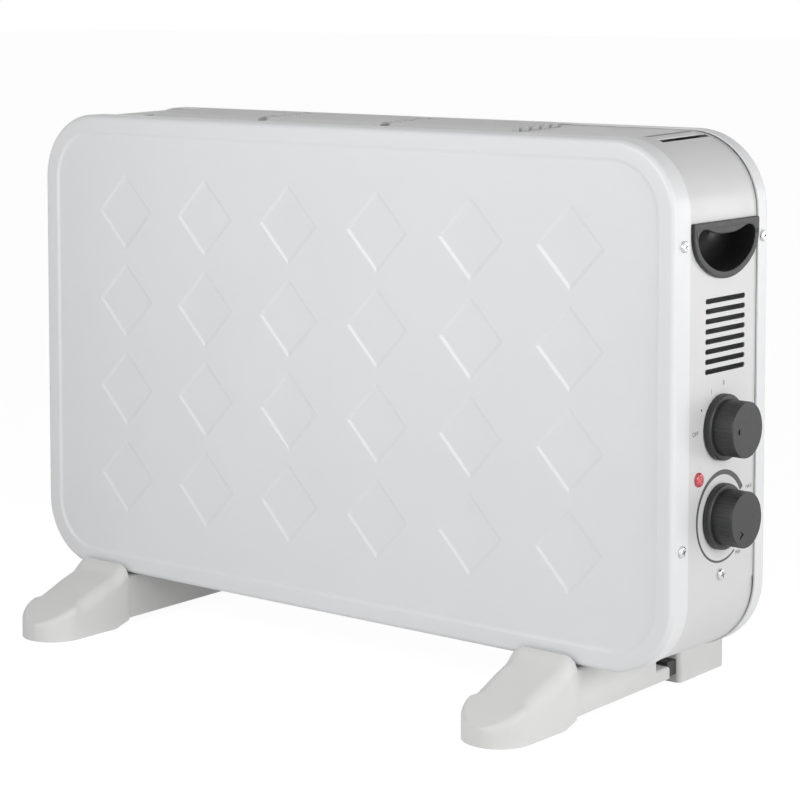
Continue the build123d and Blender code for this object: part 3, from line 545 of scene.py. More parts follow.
def ceramic():
    """Unglazed steatite."""
    finish, tree, shader, place = material("steatite")
    tint(tree, shader, noise(tree, place, 350.0, 4.0), (0.77, 0.75, 0.70), (0.84, 0.82, 0.78))
    tree.links.new(spread(tree, noise(tree, place, 500.0, 2.0), 0.7, 0.85), shader.inputs["Roughness"])
    relief(tree, shader, [(noise(tree, place, 3000.0, 3.0), 0.25, 0.00008)])
    return finish


def lens_red():
    """Clear red lens with a faceted inner face."""
    finish, tree, shader, place = material("red_lens")
    colour = finishes().lamp
    facets = cells(tree, place, 620.0)
    tint(tree, shader, facets.outputs["Distance"], shade(colour, 1.35), shade(colour, 0.75))
    tree.links.new(spread(tree, noise(tree, place, 300.0, 2.0), 0.1, 0.2), shader.inputs["Roughness"])
    relief(tree, shader, [(facets.outputs["Distance"], 0.12, 0.0002)])
    shader.inputs["Coat Weight"].default_value = 0.6
    shader.inputs["Coat Roughness"].default_value = 0.06
    return finish


def mark_ink():
    """Screen-printed grey ink."""
    finish, tree, shader, place = material("mark_ink")
    colour = finishes().ink
    tint(tree, shader, noise(tree, place, 1800.0, 3.0), shade(colour, 0.85), shade(colour, 1.35))
    tree.links.new(spread(tree, noise(tree, place, 900.0, 2.0), 0.45, 0.6), shader.inputs["Roughness"])
    relief(tree, shader, [(noise(tree, place, 3500.0, 2.0), 0.1, 0.00002)])
    return finish


def rounded_slab(low, high, radius, segments=18):
    """Closed slab with rounded corners seen along Y, its front at low Y."""
    deselect()
    middle = (Vector(low) + Vector(high)) / 2
    bpy.ops.mesh.primitive_plane_add(
        size=1, location=(middle.x, high[1], middle.z), rotation=(HALF_PI, 0, 0)
    )
    piece = bpy.context.view_layer.objects.active
    piece.scale = (high[0] - low[0], high[2] - low[2], 1)
    apply_place(piece)
    pick(piece, "VERT", lambda co: True)
    bevel_picked(radius, segments, "VERTICES")
    pick(piece, "FACE", lambda co, normal: True)
    depth = high[1] - low[1]
    bpy.ops.mesh.extrude_region_move(TRANSFORM_OT_translate={"value": (0, -depth, 0)})
    done_editing()
    pick(piece, "EDGE", lambda a, b: near(a.y, high[1]) and near(b.y, high[1]))
    bpy.ops.mesh.edge_face_add()
    done_editing()
    close_normals(piece)
    return piece


def pressed_face(piece, face_y):
    """Rounds the face's edge and presses the sunk field into it."""
    set_up = sizes()
    pick(piece, "EDGE", lambda a, b: near(a.y, face_y) and near(b.y, face_y))
    bevel_picked(set_up.edge, 6)
    pick(piece, "FACE", lambda co, normal: near(co.y, face_y) and abs(normal.y) > 0.999)
    bpy.ops.mesh.inset(thickness=set_up.field_inset - set_up.edge, depth=0)
    bpy.ops.mesh.inset(thickness=set_up.field_bevel, depth=-set_up.field_depth)
    done_editing()


def diamond_cutter(centre):
    """Four-sided frustum that presses one diamond."""
    set_up = sizes()
    depth = set_up.diamond_depth
    over = 2.0
    shrink = set_up.diamond_shrink
    outer = 1 + (1 - shrink) * over
    deselect()
    bpy.ops.mesh.primitive_cone_add(
        vertices=4,
        radius1=outer,
        radius2=shrink,
        depth=depth * (1 + over),
        location=(centre[0], centre[1] + depth * (1 - over) / 2, centre[2]),
        rotation=(-HALF_PI, 0, 0),
    )
    piece = bpy.context.view_layer.objects.active
    piece.scale = (set_up.diamond_half[0], set_up.diamond_half[1], 1)
    apply_place(piece)
    return piece


def open_side(piece, side_y):
    """Removes the face that closes the slab."""
    pick(piece, "FACE", lambda co, normal: near(co.y, side_y, 1e-4) and abs(normal.y) > 0.99)
    bpy.ops.mesh.delete(type="FACE")
    done_editing()


def front_cover():
    """Front cover with its pressed field and diamonds."""
    set_up = sizes()
    low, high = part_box("front_panel")
    piece = rounded_slab(low, high, set_up.corner)
    pressed_face(piece, low.y)
    pattern_shift = Vector((2.0 * MM, 0, 1.4 * MM))
    centre = (low + high) / 2 + pattern_shift
    columns, rows = 6, 4
    cutters = []
    for column in range(columns):
        for row in range(rows):
            x = centre.x + (column - (columns - 1) / 2) * set_up.diamond_pitch[0]
            z = centre.z + (row - (rows - 1) / 2) * set_up.diamond_pitch[1]
            cutters.append(diamond_cutter((x, low.y + set_up.field_depth, z)))
    carve(piece, cutters)
    soften(piece, 0.9 * MM, 3, 18.0)
    open_side(piece, high.y)
    wall(piece, set_up.sheet)
    smooth(piece, 40.0)
    return piece


def rear_cover():
    """Rear cover: plain field, a seam gap round its edge, thinned lip at the top, gland hole."""
    set_up = sizes()
    low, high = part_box("rear_panel")
    corner = set_up.corner + set_up.rear_step
    piece = rounded_slab(low, high, corner)
    pressed_face(piece, high.y)
    open_side(piece, low.y)
    wall(piece, set_up.sheet)
    half, rise = (high.x - low.x) / 2 - set_up.sheet, (high.z - low.z) / 2 - set_up.sheet
    side_turn_in, top_turn_in = 0.5 * MM, 0.2 * MM
    pick(piece, "VERT", lambda co: near(co.y, low.y) and not on_outline(co, low, high, corner))
    bpy.ops.transform.resize(
        value=(1 - side_turn_in / half, 1, 1 - top_turn_in / rise), center_override=(low + high) / 2
    )
    done_editing()
    middle = middle_x()
    left, right = middle - 225 * MM, middle - 35 * MM
    skin = high.z - 0.3 * MM
    depth, taper = 2.0 * MM, 1.8 * MM
    groove = bar((left, low.y - 1 * MM, skin - depth), (right, low.y + 8 * MM, skin))
    pick(groove, "VERT", lambda co: near(co.x, left) and near(co.z, skin))
    bpy.ops.transform.translate(value=(0, 0, -taper))
    done_editing()
    gland_x, gland_z, gland_radius = middle + 250 * MM, 75 * MM, 7.5 * MM
    hole = rod((gland_x, high.y, gland_z), gland_radius, 20 * MM, "Y", 32)
    carve(piece, [groove, hole])
    soften(piece, 0.2 * MM, 2, 28.0)
    smooth(piece, 40.0)
    return piece


def on_outline(co, low, high, radius):
    """True on the outer outline of a rounded cover."""
    x = max(abs(co.x - (low.x + high.x) / 2) - (high.x - low.x) / 2 + radius, 0)
    z = max(abs(co.z - (low.z + high.z) / 2) - (high.z - low.z) / 2 + radius, 0)
    return near(math.hypot(x, z), radius, 2e-4)


def middle_x():
    """X of the middle of the body, which stands a little off the frame's zero."""
    low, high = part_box("front_panel")
    return (low.x + high.x) / 2


def slope():
    """How far the band flares outwards for each metre towards the back."""
    low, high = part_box("casing_wrap")
    return sizes().flare / (high.y - low.y)


def stand(piece, y, z):
    """Stands a piece made on the plane X = 0 on the flaring right end."""
    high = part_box("casing_wrap")[1]
    piece.rotation_euler = (0, 0, -math.atan(slope()))
    piece.location = (high.x - slope() * (high.y - y), y, z)
    apply_place(piece)
    return piece


def other_end(piece):
    """Mirror image of a piece about the middle of the body."""
    twin = mirrored(piece)
    twin.location = (2 * middle_x(), 0, 0)
    apply_place(twin)
    return twin


def moulded_copy(node, width=0, segments=0, angle=30.0, shade_angle=35.0):
    """Copy of a CAD node, its edges rounded by width and its curves shaded smooth."""
    activate(frame["nodes"][node])
    bpy.ops.object.duplicate(linked=False)
    piece = bpy.context.view_layer.objects.active
    for key in list(piece.keys()):
        del piece[key]
    piece.parent = None
    bpy.ops.object.mode_set(mode="EDIT")
    bpy.ops.mesh.select_all(action="SELECT")
    bpy.ops.mesh.remove_doubles(threshold=1e-5)
    bpy.ops.mesh.dissolve_limited(angle_limit=math.radians(0.4))
    done_editing()
    if width:
        soften(piece, width, segments, angle)
    smooth(piece, shade_angle)
    return piece


def loft(rings):
    """Closed skin over rings of equally many points, with both ends filled."""
    around, along = len(rings[0]), len(rings) - 1
    deselect()
    bpy.ops.mesh.primitive_grid_add(x_subdivisions=around, y_subdivisions=along, size=1)
    piece = bpy.context.view_layer.objects.active
    for vertex in piece.data.vertices:
        column = round((vertex.co.x + 0.5) * around) % around
        row = round((vertex.co.y + 0.5) * along)
        vertex.co = rings[row][column]
    for ring in (rings[0], rings[-1]):
        ends = {tuple(round(c, 6) for c in point) for point in ring}
        pick(piece, "EDGE", lambda a, b: on_ring(a, ends) and on_ring(b, ends))
        bpy.ops.mesh.remove_doubles(threshold=1e-6)
        bpy.ops.mesh.edge_face_add()
        done_editing()
    close_normals(piece)
    return piece


def on_ring(point, ends):
    """True for a point of a ring whose rounded points are given."""
    return tuple(round(c, 6) for c in point) in ends


def arc(centre, radius, start, end, steps):
    """Points of an arc in the plane of a ring, angles in degrees."""
    points = []
    for step in range(steps + 1):
        angle = math.radians(start + (end - start) * step / steps)
        points.append((centre[0] + radius * math.cos(angle), centre[1] + radius * math.sin(angle)))
    return points


def grip_ring(x, inset, corner):
    """One ring of the grip recess in mm, its outline moved inwards by inset."""
    half = sizes().grip_width / MM / 2 - inset
    corner = max(corner, 0.5)
    side = arc((half - corner, -inset - corner), corner, 90, 0, 6)
    side += arc((16.25, -8.31), 24 - inset, 0, -48.3, 8)
    side += arc((0, 9.93), 48.43 - inset, -48.3, -90, 8)[1:]
    points = side + [(-y, z) for y, z in reversed(side[:-1])]
    return [Vector((x, y, z)) * MM for y, z in points]


def grip():
    """Grip recess on the plane X = 0, Z measured from its top edge."""
    rings = [grip_ring(-31.8, 2.2, 1), grip_ring(-0.1, 2.2, 1), grip_ring(-0.1, 0.1, 1.2)]
    outer_edge = ((2.2, 0), (2.6, 0.12), (2.88, 0.4), (3.0, 0.9))
    inner_edge = ((3.0, 3.8), (2.9, 4.2), (2.6, 4.5))
    rings += [grip_ring(x, inset, 1.2) for x, inset in outer_edge]
    rings += [grip_ring(x, inset, 8) for x, inset in inner_edge]
    mouth, cove, floor_x, steps = 4.5, 13.0, -29, 8
    for step in range(steps + 1):
        angle = math.radians(step * 90 / steps)
        inset = mouth + cove * (1 - math.cos(angle))
        rings.append(grip_ring(cove + floor_x - cove * math.sin(angle), inset, 12.5 - inset))
    return joined([loft(rings), finger_lip()], "grip")


def finger_lip():
    """Bulge of the upper rim that the fingers close round."""
    rings = []
    half, drop, top = 29.0, 4.3, -3.2
    back, front, edge = -0.7, 2.9, 1.0
    for step in range(41):
        y = (step / 20 - 1) * half
        low = -4.4 - drop * (0.5 + 0.5 * math.cos(math.pi * abs(y / half) ** 1.55))
        section = [(back, top), (front, top)]
        section += [(front - edge + u, low + edge - v) for u, v in arc((0, 0), edge, 0, 90, 4)]
        section += [(back + edge - v, low + edge - u) for u, v in arc((0, 0), edge, 0, 90, 4)]
        rings.append([Vector((x, y, z)) * MM for x, z in section])
    return loft(rings)


FOOT_TOP = (
    (-138, 12.8), (-134, 15.4), (-127, 19.6), (-118, 23.6), (-110, 26.2), (-101, 29.2), (-92, 32.6),
    (-84, 35.6), (-76, 38.0), (-71, 39.6), (-68, 41.8), (-65, 44.6), (-62.5, 46.4), (-60.5, 46.9),
)
FOOT_SECTIONS = (
    -109, -105, -101, -97, -93, -89, -85, -81, -77, -74, -71, -69, -67, -65, -63.5, -62, -61, -60.5,
)
FOOT_TIP = -138
FOOT_HALF = 25
FOOT_WALL = 2.6
TOE_Y = -113
HORN_WALL_Y = -66
BEAM_SOLE = 5.5


def foot_height(y):
    """Height in mm of the toe's top, from the tip to the horn."""
    for (a, low), (b, high) in zip(FOOT_TOP, FOOT_TOP[1:]):
        if y <= b:
            return low + (high - low) * (y - a) / (b - a)
    return FOOT_TOP[-1][1]


def foot_ring(y, half, top, sole, edge, inset):
    """Section of the foot across X at y, its upper edges rounded."""
    half, top = half - inset, top - inset
    edge = max(min(edge, half * 0.5, (top - sole) * 0.5) - inset * 0.5, 0.3)
    right = [(half, sole)] + arc((half - edge, top - edge), edge, 0, 90, 7)
    points = right + [(-x, z) for x, z in reversed(right)]
    return [Vector((x, y, z)) * MM for x, z in points]


def foot_loft(inset):
    """Toe, horn and beam as one form; with an inset, the hollow inside it."""
    rings = []
    drop = -3 if inset else 0
    reach = FOOT_HALF - inset
    for step in range(1, 19):
        angle = math.radians(step * 5)
        y = TOE_Y - reach * math.cos(angle)
        rings.append(foot_ring(y, inset + reach * math.sin(angle), foot_height(y), drop, 5, inset))
    for y in FOOT_SECTIONS:
        if inset and y > HORN_WALL_Y:
            break
        half = FOOT_HALF + 1.5 * min(1, (y - TOE_Y) / 40)
        sole = drop or max(0.0, (y + 75) * 0.3)
        rings.append(foot_ring(y, half, foot_height(y), sole, 10, inset))
    beam_top, end_top, shoulder, end = 38, 14, 40, 58
    for y, top, sole in (
        (-60.4, beam_top, 4.6),
        (-57, beam_top, BEAM_SOLE),
        (shoulder, beam_top, BEAM_SOLE),
        (shoulder + 0.1, end_top, BEAM_SOLE),
        (end, end_top, BEAM_SOLE),
    ):
        rings.append(foot_ring(y - inset * (y > 0), FOOT_HALF, top, drop or sole, 2.5, inset))
    return loft(rings)


def heel():
    """Rear block of the foot, hollow from below, sloping down to the back, its corners rounded."""
    thickness = FOOT_WALL * MM
    low, high = Vector((-27.5, 68, 0)) * MM, Vector((27.5, 128, 34)) * MM
    block = bar(low, high)
    pick(block, "VERT", lambda co: near(co.y, high.y) and near(co.z, high.z))
    bpy.ops.transform.translate(value=(0, 0, -12 * MM))
    done_editing()
    hollow = copied(block, (0, 0, -thickness))
    pick(hollow, "VERT", lambda co: True)
    bpy.ops.transform.resize(
        value=(1 - 2 * thickness / (high.x - low.x), 1 - 2 * thickness / (high.y - low.y), 1),
        center_override=(low + high) / 2,
    )
    done_editing()
    for y, width in ((low.y, 4 * MM), (high.y, 3 * MM)):
        pick(block, "EDGE", lambda a, b: near(a.y, y) and near(b.y, y) and near(a.x, b.x))
        bevel_picked(width, 6)
    pick(block, "EDGE", lambda a, b: all(near(co.y, low.y) and near(co.z, 0) for co in (a, b)))
    bevel_picked(4 * MM, 4)
    soften(block, 1.4 * MM, 3, 40.0)
    carve(block, [hollow])
    return block


def foot():
    """Moulded foot about its own centre line, open from below."""
    shell = foot_loft(0)
    carve(shell, [foot_loft(FOOT_WALL)])
    parts = [shell, heel()]
    rib, rib_foot = 2, 7
    for y in (-100, -66):
        ends = (y, y + rib)
        rings = [foot_ring(end, 25.4, foot_height(y), rib_foot, 10, FOOT_WALL / 2) for end in ends]
        parts.append(loft(rings))
    for y, width, top in ((5, 24, 36.5), (97, 26, 27)):
        parts.append(bar(Vector((-width, y, rib_foot)) * MM, Vector((width, y + rib, top)) * MM))
    for y in (-27, 27):
        parts.append(rod(Vector((0, y, 30.6)) * MM, 6.5 * MM, 13.4 * MM, "Z", 32))
    return joined(parts, "foot")


def link():
    """Dark block between the beam and the heel: painted shade, filling the slit where the heel's front
    face lies in shadow.
    """
    # painted shade: a dark block standing in for the shadow deep in the slit
    piece = bar(Vector((-24, 57, 6)) * MM, Vector((24, 69.5, 17)) * MM)
    soften(piece, 1.0 * MM, 3, 40.0)
    return piece


def knob():
    """Knob standing on the plane X = 0, pointer towards -Y."""
    ribs = sizes().knob_ribs
    skirt_radius, skirt_top, skirt_depth = 22.2 * MM, 5.5 * MM, 5 * MM
    bands = (0.6 * MM, 12.2 * MM, 2.2 * MM)
    face_x = skirt_top + sum(bands)
    piece = rod((skirt_top - skirt_depth / 2, 0, 0), skirt_radius, skirt_depth, "X", ribs * 4)
    pick(piece, "EDGE", lambda a, b: near(a.x, skirt_top) and near(b.x, skirt_top))
    bevel_picked(1.6 * MM, 4)
    pick(piece, "FACE", lambda co, normal: near(co.x, skirt_top) and normal.x > 0.999)
    bpy.ops.mesh.inset(thickness=1.75 * MM, depth=0)
    for rise in bands:
        bpy.ops.mesh.extrude_region_move(TRANSFORM_OT_translate={"value": (rise, 0, 0)})
    done_editing()
    low_x, high_x = skirt_top + bands[0], face_x - bands[2]
    step = 2 * math.pi / (ribs * 4)

    def groove(co, normal):
        if not (low_x < co.x < high_x) or abs(normal.x) > 0.1:
            return False
        place = int(round((math.atan2(co.z, co.y) % (2 * math.pi)) / step - 0.5))
        return place % 4 in (0, 1)

    pick(piece, "FACE", groove)
    bpy.ops.mesh.inset(thickness=0.25 * MM, depth=-0.16 * MM)
    done_editing()
    pick(piece, "EDGE", lambda a, b: near(a.x, face_x) and near(b.x, face_x))
    bevel_picked(0.9 * MM, 4)
    carve(piece, [pointer_cutter()])
    smooth(piece, 38.0)
    return piece


def pointer_cutter():
    """Three-sided cutter of 5.6 by 4.6 mm that points to -Y."""
    piece = rod((21.3 * MM, 0, 0), 1, 3 * MM, "X", 3)
    corners = sorted({round(math.atan2(v.co.z, v.co.y), 3) for v in piece.data.vertices})
    targets = ((-9.4, -2.3), (-9.4, 2.3), (-15.0, 0))
    for vertex in piece.data.vertices:
        y, z = targets[corners.index(round(math.atan2(vertex.co.z, vertex.co.y), 3))]
        vertex.co.y, vertex.co.z = y * MM, z * MM
    close_normals(piece)
    return piece


def pan_head():
    """Pan-head screw with a cross recess, seated on the plane X = 0."""
    radius = sizes().screw_head / 2
    head = SCREW_HEAD_HEIGHT
    piece = rod((head / 2, 0, 0), radius, head, "X", 40)
    pick(piece, "EDGE", lambda a, b: near(a.x, head) and near(b.x, head))
    bevel_picked(1.5 * MM, 5)
    for angle in (20, 110):
        reach = Vector((1.2, 2.1, 0.42)) * MM
        arm = bar(-reach, reach)
        arm.rotation_euler = (math.radians(angle), 0, 0)
        arm.location = (head, 0, 0)
        apply_place(arm)
        carve(piece, [arm])
    shank = rod((-4 * MM, 0, 0), 1.9 * MM, 9 * MM, "X", 20)
    whole = joined([piece, shank], "screw")
    smooth(whole, 40.0)
    return whole


def screw_group(node):
    """All the screws of one node, at the places of its CAD solids."""
    low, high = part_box(node)
    head = sizes().screw_head / 2
    y = (low.y + high.y) / 2
    group = []
    for z in sorted({round(low.z + head, 5), round(high.z - head, 5)}):
        screw = pan_head()
        screw.location = (high.x - SCREW_HEAD_HEIGHT, y, z)
        apply_place(screw)
        group += [screw, other_end(screw)]
    return joined(group, node)


def lamp_lens():
    """Domed red lens with its stem."""
    low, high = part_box("indicator_lens")
    rise = 2.2 * MM
    dome = rod((rise / 2, 0, 0), 4.9 * MM, rise, "X", 40)
    pick(dome, "EDGE", lambda a, b: near(a.x, rise) and near(b.x, rise))
    bevel_picked(1.9 * MM, 6)
    stem = rod((-5 * MM, 0, 0), 3.9 * MM, 11 * MM, "X", 32)
    whole = joined([dome, stem], "lens")
    smooth(whole, 45.0)
    return stand(whole, (low.y + high.y) / 2, (low.z + high.z) / 2)


def word(text, size, y, z):
    """Flat printed word on the plane X = 0, read from outside."""
    deselect()
    bpy.ops.object.text_add(location=(INK_LIFT, y, z), rotation=(HALF_PI, 0, HALF_PI))
    piece = bpy.context.view_layer.objects.active
    piece.data.body = text
    piece.data.size = size
    piece.data.align_x = "CENTER"
    piece.data.align_y = "CENTER"
    piece.data.extrude = INK_THICKNESS / 2
    piece.data.resolution_u = 4
    bpy.ops.object.convert(target="MESH")
    piece = bpy.context.view_layer.objects.active
    apply_place(piece)
    return piece


def crescent(y, z, radius):
    """Scale round the thermostat knob, from a thin tail to a broad end."""
    start, end = math.radians(303), math.radians(31)
    deselect()
    bpy.ops.mesh.primitive_grid_add(x_subdivisions=72, y_subdivisions=1, size=1)
    piece = bpy.context.view_layer.objects.active
    for vertex in piece.data.vertices:
        share = vertex.co.x + 0.5
        angle = start + (end - start) * share
        width = (1.4 + 2.8 * share**1.8) * MM
        reach = radius - (width if vertex.co.y < 0 else 0)
        vertex.co = (INK_LIFT, y + reach * math.cos(angle), z + reach * math.sin(angle))
    modifier = piece.modifiers.new("ink", "SOLIDIFY")
    modifier.thickness = INK_THICKNESS
    modifier.offset = 0
    apply_modifiers(piece)
    close_normals(piece)
    return piece


def dial_marks():
    """Printed marks round both knobs, Y measured from the knobs' centre."""
    words = (
        ("OFF", 4.2, -31.6, 200.6),
        ("I", 4.6, -12.4, 226.2),
        ("II", 4.6, 2.6, 230.6),
        ("MIN", 3.6, 22.4, 113.2),
        ("MAX", 3.6, 35.6, 156.0),
    )
    parts = [word(text, size * MM, y * MM, z * MM) for text, size, y, z in words]
    parts.append(rod((INK_LIFT, -24.6 * MM, 215.6 * MM), 0.8 * MM, INK_THICKNESS, "X", 20))
    parts.append(crescent(1.2 * MM, 141.2 * MM, 31.2 * MM))
    return stand(joined(parts, "dial_marks"), KNOB_Y, 0)


class HEATER_OT_front_cover(bpy.types.Operator):
    """Makes the pressed front cover with its diamonds"""

    bl_idname = "heater.front_cover"
    bl_label = "Front Cover"

    def execute(self, context):
        put(front_cover(), "front_cover", cover_paint(), nodes=["front_panel"])
        return {"FINISHED"}


class HEATER_OT_rear_cover(bpy.types.Operator):
    """Makes the rear cover with its plain field, and the gland in it"""

    bl_idname = "heater.rear_cover"
    bl_label = "Rear Cover"

    def execute(self, context):
        put(rear_cover(), "rear_cover", cover_paint(), nodes=["rear_panel"])
        gland = moulded_copy("cord_gland", 0.4 * MM, 3, 40.0, 40.0)
        put(gland, "gland", dark_plastic(), nodes=["cord_gland"])
        return {"FINISHED"}


class HEATER_OT_band(bpy.types.Operator):
    """Makes the band, the lower pan and the outlet louvres"""

    bl_idname = "heater.band"
    bl_label = "Band"

    def execute(self, context):
        upper = moulded_copy("casing_wrap")
        put(upper, "side_and_top_band", band_paint(), nodes=["casing_wrap"])
        lower = moulded_copy("base_pan")
        put(lower, "lower_band", band_paint(), nodes=["base_pan"])
        louvres = moulded_copy("outlet_grille", 0.25 * MM, 2, 30.0)
        put(louvres, "top_louvres", band_paint(), nodes=["outlet_grille"])
        return {"FINISHED"}


class HEATER_OT_grips(bpy.types.Operator):
    """Makes the two recessed grips"""

    bl_idname = "heater.grips"
    bl_label = "Grips"

    def execute(self, context):
        low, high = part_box("handle_cup_right")
        right = stand(grip(), (low.y + high.y) / 2, high.z)
        smooth(right, 40.0)
        left = other_end(right)
        smooth(left, 40.0)
        put(right, "grip_right", dark_plastic(), nodes=["handle_cup_right"])
        put(left, "grip_left", dark_plastic(), nodes=["handle_cup_left"])
        return {"FINISHED"}


class HEATER_OT_feet(bpy.types.Operator):
    """Makes the two moulded feet"""

    bl_idname = "heater.feet"
    bl_label = "Feet"

    def execute(self, context):
        made = foot()
        # dark block in the slit between beam and heel: painted shade standing for the shadow there
        shade_block = link()
        for side in ("left", "right"):
            node = f"{side}_foot"
            low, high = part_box(node)
            place = ((low.x + high.x) / 2, low.y - FOOT_TIP * MM, 0)
            piece = copied(made, place)
            smooth(piece, 40.0)
            put(piece, f"foot_{side}", foot_plastic(), nodes=[node])
            # painted shade: dark block over the heel's front face in the slit
            dark = copied(shade_block, place)
            smooth(dark, 40.0)
            put(dark, f"foot_shade_block_{side}", dark_plastic())
        bpy.data.objects.remove(made)
        bpy.data.objects.remove(shade_block)
        return {"FINISHED"}


class HEATER_OT_knobs(bpy.types.Operator):
    """Makes the ribbed selector and thermostat knobs"""

    bl_idname = "heater.knobs"
    bl_label = "Knobs"

    def execute(self, context):
        first = knob()
        second = copied(first)
        second.rotation_euler = (math.radians(54), 0, 0)
        apply_place(second)
        stand(first, KNOB_Y, SELECTOR_Z)
        stand(second, KNOB_Y, THERMOSTAT_Z)
        finish = dark_plastic()
        put(first, "selector_dial", finish, "selector_body", ["selector_knob"])
        put(second, "thermostat_dial", finish, "thermostat_body", ["thermostat_knob"])
        return {"FINISHED"}


class HEATER_OT_screws(bpy.types.Operator):
    """Makes the cross-head screws at both ends"""

    bl_idname = "heater.screws"
    bl_label = "Screws"

    def execute(self, context):
        for node in ("front_flange_screws", "rear_flange_screws", "plate_screws"):
            put(screw_group(node), f"{node}_crosshead", screw_steel(), nodes=[node])
        return {"FINISHED"}


class HEATER_OT_lamp(bpy.types.Operator):
    """Makes the red pilot lamp"""

    bl_idname = "heater.lamp"
    bl_label = "Lamp"

    def execute(self, context):
        put(lamp_lens(), "pilot_lamp", lens_red(), nodes=["indicator_lens"])
        return {"FINISHED"}


class HEATER_OT_marks(bpy.types.Operator):
    """Prints the marks round the knobs"""

    bl_idname = "heater.marks"
    bl_label = "Dial Marks"

    def execute(self, context):
        put(dial_marks(), "dial_marks", mark_ink())
        return {"FINISHED"}


class HEATER_OT_inner_finishes(bpy.types.Operator):
    """Gives the inner CAD pieces their finishes"""

    bl_idname = "heater.inner_finishes"
    bl_label = "Inner Finishes"

    def execute(self, context):
        makers = {
            "fin_aluminium": fin_aluminium(),
            "sheet_steel": sheet_steel(),
            "switch_plastic": black_plastic(),
            "terminal_plastic": nylon(),
            "insulator_ceramic": ceramic(),
            "shaft_metal": shaft_metal(),
            "screw_steel": screw_steel(),
        }
        for row in frame["record"]["subparts"]:
            node = frame["nodes"][row["node"]]
            finish = makers.get(row["material_slot"])
            if node.hide_render or finish is None:
                continue
            node.data.materials.clear()
            node.data.materials.append(finish)
        return {"FINISHED"}


class HEATER_OT_studio(bpy.types.Operator):
    """Sets the floor, lamps, sky and camera"""

    bl_idname = "heater.studio"
    bl_label = "Studio"

    def execute(self, context):
        studio_camera()
        studio_floor()
        studio_light()
        return {"FINISHED"}


def studio_camera():
    studio = bpy.context.scene.heater_studio
    deselect()
    bpy.ops.object.camera_add(location=studio.place, rotation=[math.radians(a) for a in studio.turn])
    camera = bpy.context.view_layer.objects.active
    camera.name = "camera"
    camera.data.lens = studio.lens
    camera.data.sensor_width = 36
    camera.data.shift_y = studio.shift
    camera.data.clip_end = 50
    bpy.context.scene.camera = camera
    bpy.context.scene.view_settings.view_transform = "Standard"


def seen_ray(tree):
    """1 for rays that show the background: seen, mirrored or through glass."""
    path = tree.nodes.new("ShaderNodeLightPath")
    last = path.outputs["Is Camera Ray"]
    for ray in ("Is Glossy Ray", "Is Transmission Ray"):
        both = tree.nodes.new("ShaderNodeMath")
        both.operation = "MAXIMUM"
        tree.links.new(last, both.inputs[0])
        tree.links.new(path.outputs[ray], both.inputs[1])
        last = both.outputs["Value"]
    return last


def studio_floor():
    """White floor that keeps a faint shadow."""
    deselect()
    bpy.ops.mesh.primitive_plane_add(size=40, location=(0, 0, 0))
    floor = bpy.context.view_layer.objects.active
    floor.name = "floor"
    finish = bpy.data.materials.new("studio_floor")
    finish.use_nodes = True
    tree = finish.node_tree
    tree.nodes.clear()
    output = tree.nodes.new("ShaderNodeOutputMaterial")
    lit = tree.nodes.new("ShaderNodeBsdfDiffuse")
    lit.inputs["Color"].default_value = (0.85, 0.85, 0.85, 1)
    faint = tree.nodes.new("ShaderNodeBsdfDiffuse")
    faint.inputs["Color"].default_value = (0.14, 0.14, 0.14, 1)
    glow = tree.nodes.new("ShaderNodeEmission")
    glow.inputs["Strength"].default_value = 0.95
    white = tree.nodes.new("ShaderNodeAddShader")
    tree.links.new(faint.outputs["BSDF"], white.inputs[0])
    tree.links.new(glow.outputs["Emission"], white.inputs[1])
    mix = tree.nodes.new("ShaderNodeMixShader")
    tree.links.new(seen_ray(tree), mix.inputs["Fac"])
    tree.links.new(lit.outputs["BSDF"], mix.inputs[1])
    tree.links.new(white.outputs["Shader"], mix.inputs[2])
    tree.links.new(mix.outputs["Shader"], output.inputs["Surface"])
    floor.data.materials.append(finish)


def aimed_lamp(name, place, target, width, height, power):
    deselect()
    bpy.ops.object.light_add(type="AREA", location=place)
    lamp = bpy.context.view_layer.objects.active
    lamp.name = name
    lamp.data.shape = "RECTANGLE"
    lamp.data.size = width
    lamp.data.size_y = height
    lamp.data.energy = power
    aim = Vector(target) - Vector(place)
    lamp.rotation_euler = aim.to_track_quat("-Z", "Y").to_euler()


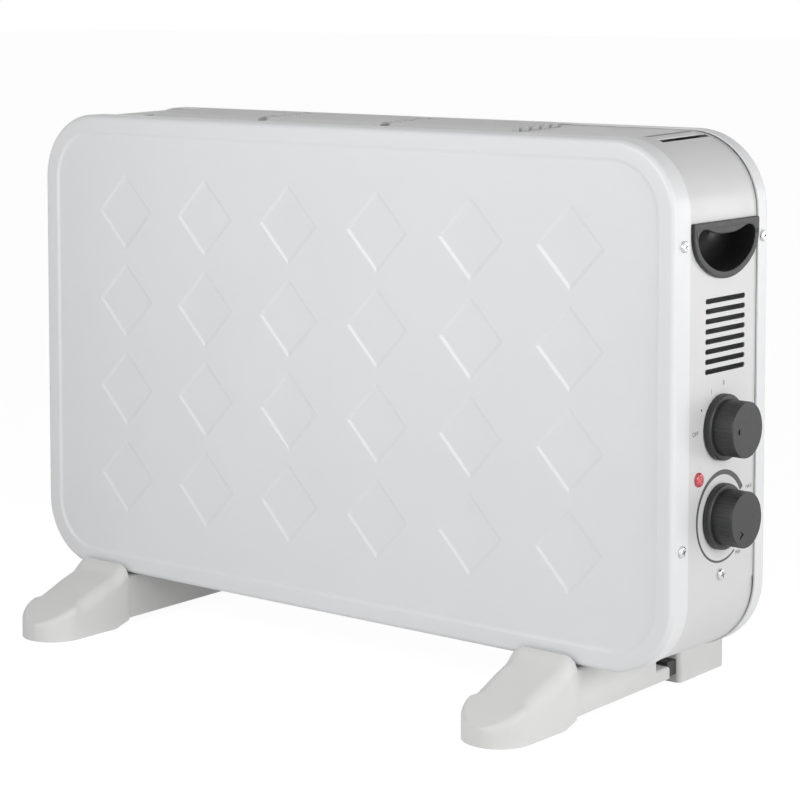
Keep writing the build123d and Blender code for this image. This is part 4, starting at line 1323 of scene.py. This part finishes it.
def studio_light():
    """Even sky and three soft lamps, low enough to leave the top in half shade."""
    studio = bpy.context.scene.heater_studio
    world = bpy.data.worlds.new("studio")
    bpy.context.scene.world = world
    world.use_nodes = True
    tree = world.node_tree
    tree.nodes.clear()
    output = tree.nodes.new("ShaderNodeOutputWorld")
    background = tree.nodes.new("ShaderNodeBackground")
    background.inputs["Color"].default_value = (1, 1, 1, 1)
    level = tree.nodes.new("ShaderNodeMapRange")
    level.inputs["To Min"].default_value = studio.sky
    level.inputs["To Max"].default_value = 1.0
    tree.links.new(seen_ray(tree), level.inputs["Value"])
    tree.links.new(level.outputs["Result"], background.inputs["Strength"])
    tree.links.new(background.outputs["Background"], output.inputs["Surface"])
    aimed_lamp("front_lamp", (0.05, -0.9, 0.58), (0.02, 0, 0.24), 0.7, 0.5, studio.front)
    aimed_lamp("side_lamp", (1.35, -0.1, 0.42), (0.28, 0, 0.24), 0.5, 0.5, studio.side)
    aimed_lamp("sheen_lamp", (1.75, 1.9, 0.35), (0.28, 0, 0.24), 1.0, 1.0, studio.sheen)


class HEATER_PT_panel(bpy.types.Panel):
    """Lists the heater's sizes, finishes and steps"""

    bl_label = "Panel Heater"
    bl_idname = "HEATER_PT_panel"
    bl_space_type = "VIEW_3D"
    bl_region_type = "UI"
    bl_category = "Heater"

    def draw(self, context):
        layout = self.layout
        scene = context.scene
        for group in (scene.heater_sizes, scene.heater_finishes, scene.heater_studio):
            box = layout.box()
            for name in group.__annotations__:
                box.prop(group, name)
        for step in STEPS:
            layout.operator(step.bl_idname)


STEPS = (
    HEATER_OT_studio,
    HEATER_OT_front_cover,
    HEATER_OT_rear_cover,
    HEATER_OT_band,
    HEATER_OT_grips,
    HEATER_OT_feet,
    HEATER_OT_knobs,
    HEATER_OT_screws,
    HEATER_OT_lamp,
    HEATER_OT_marks,
    HEATER_OT_inner_finishes,
)
CLASSES = (HeaterSizes, HeaterFinishes, HeaterStudio, *STEPS, HEATER_PT_panel)


def register():
    for item in CLASSES:
        bpy.utils.register_class(item)
    scene = bpy.types.Scene
    scene.heater_sizes = bpy.props.PointerProperty(type=HeaterSizes)
    scene.heater_finishes = bpy.props.PointerProperty(type=HeaterFinishes)
    scene.heater_studio = bpy.props.PointerProperty(type=HeaterStudio)


def unregister():
    scene = bpy.types.Scene
    del scene.heater_studio
    del scene.heater_finishes
    del scene.heater_sizes
    for item in reversed(CLASSES):
        bpy.utils.unregister_class(item)


def main():
    """Builds everything in order."""
    register()
    for step in STEPS:
        group, name = step.bl_idname.split(".")
        getattr(getattr(bpy.ops, group), name)()


if __name__ == "__main__":
    main()
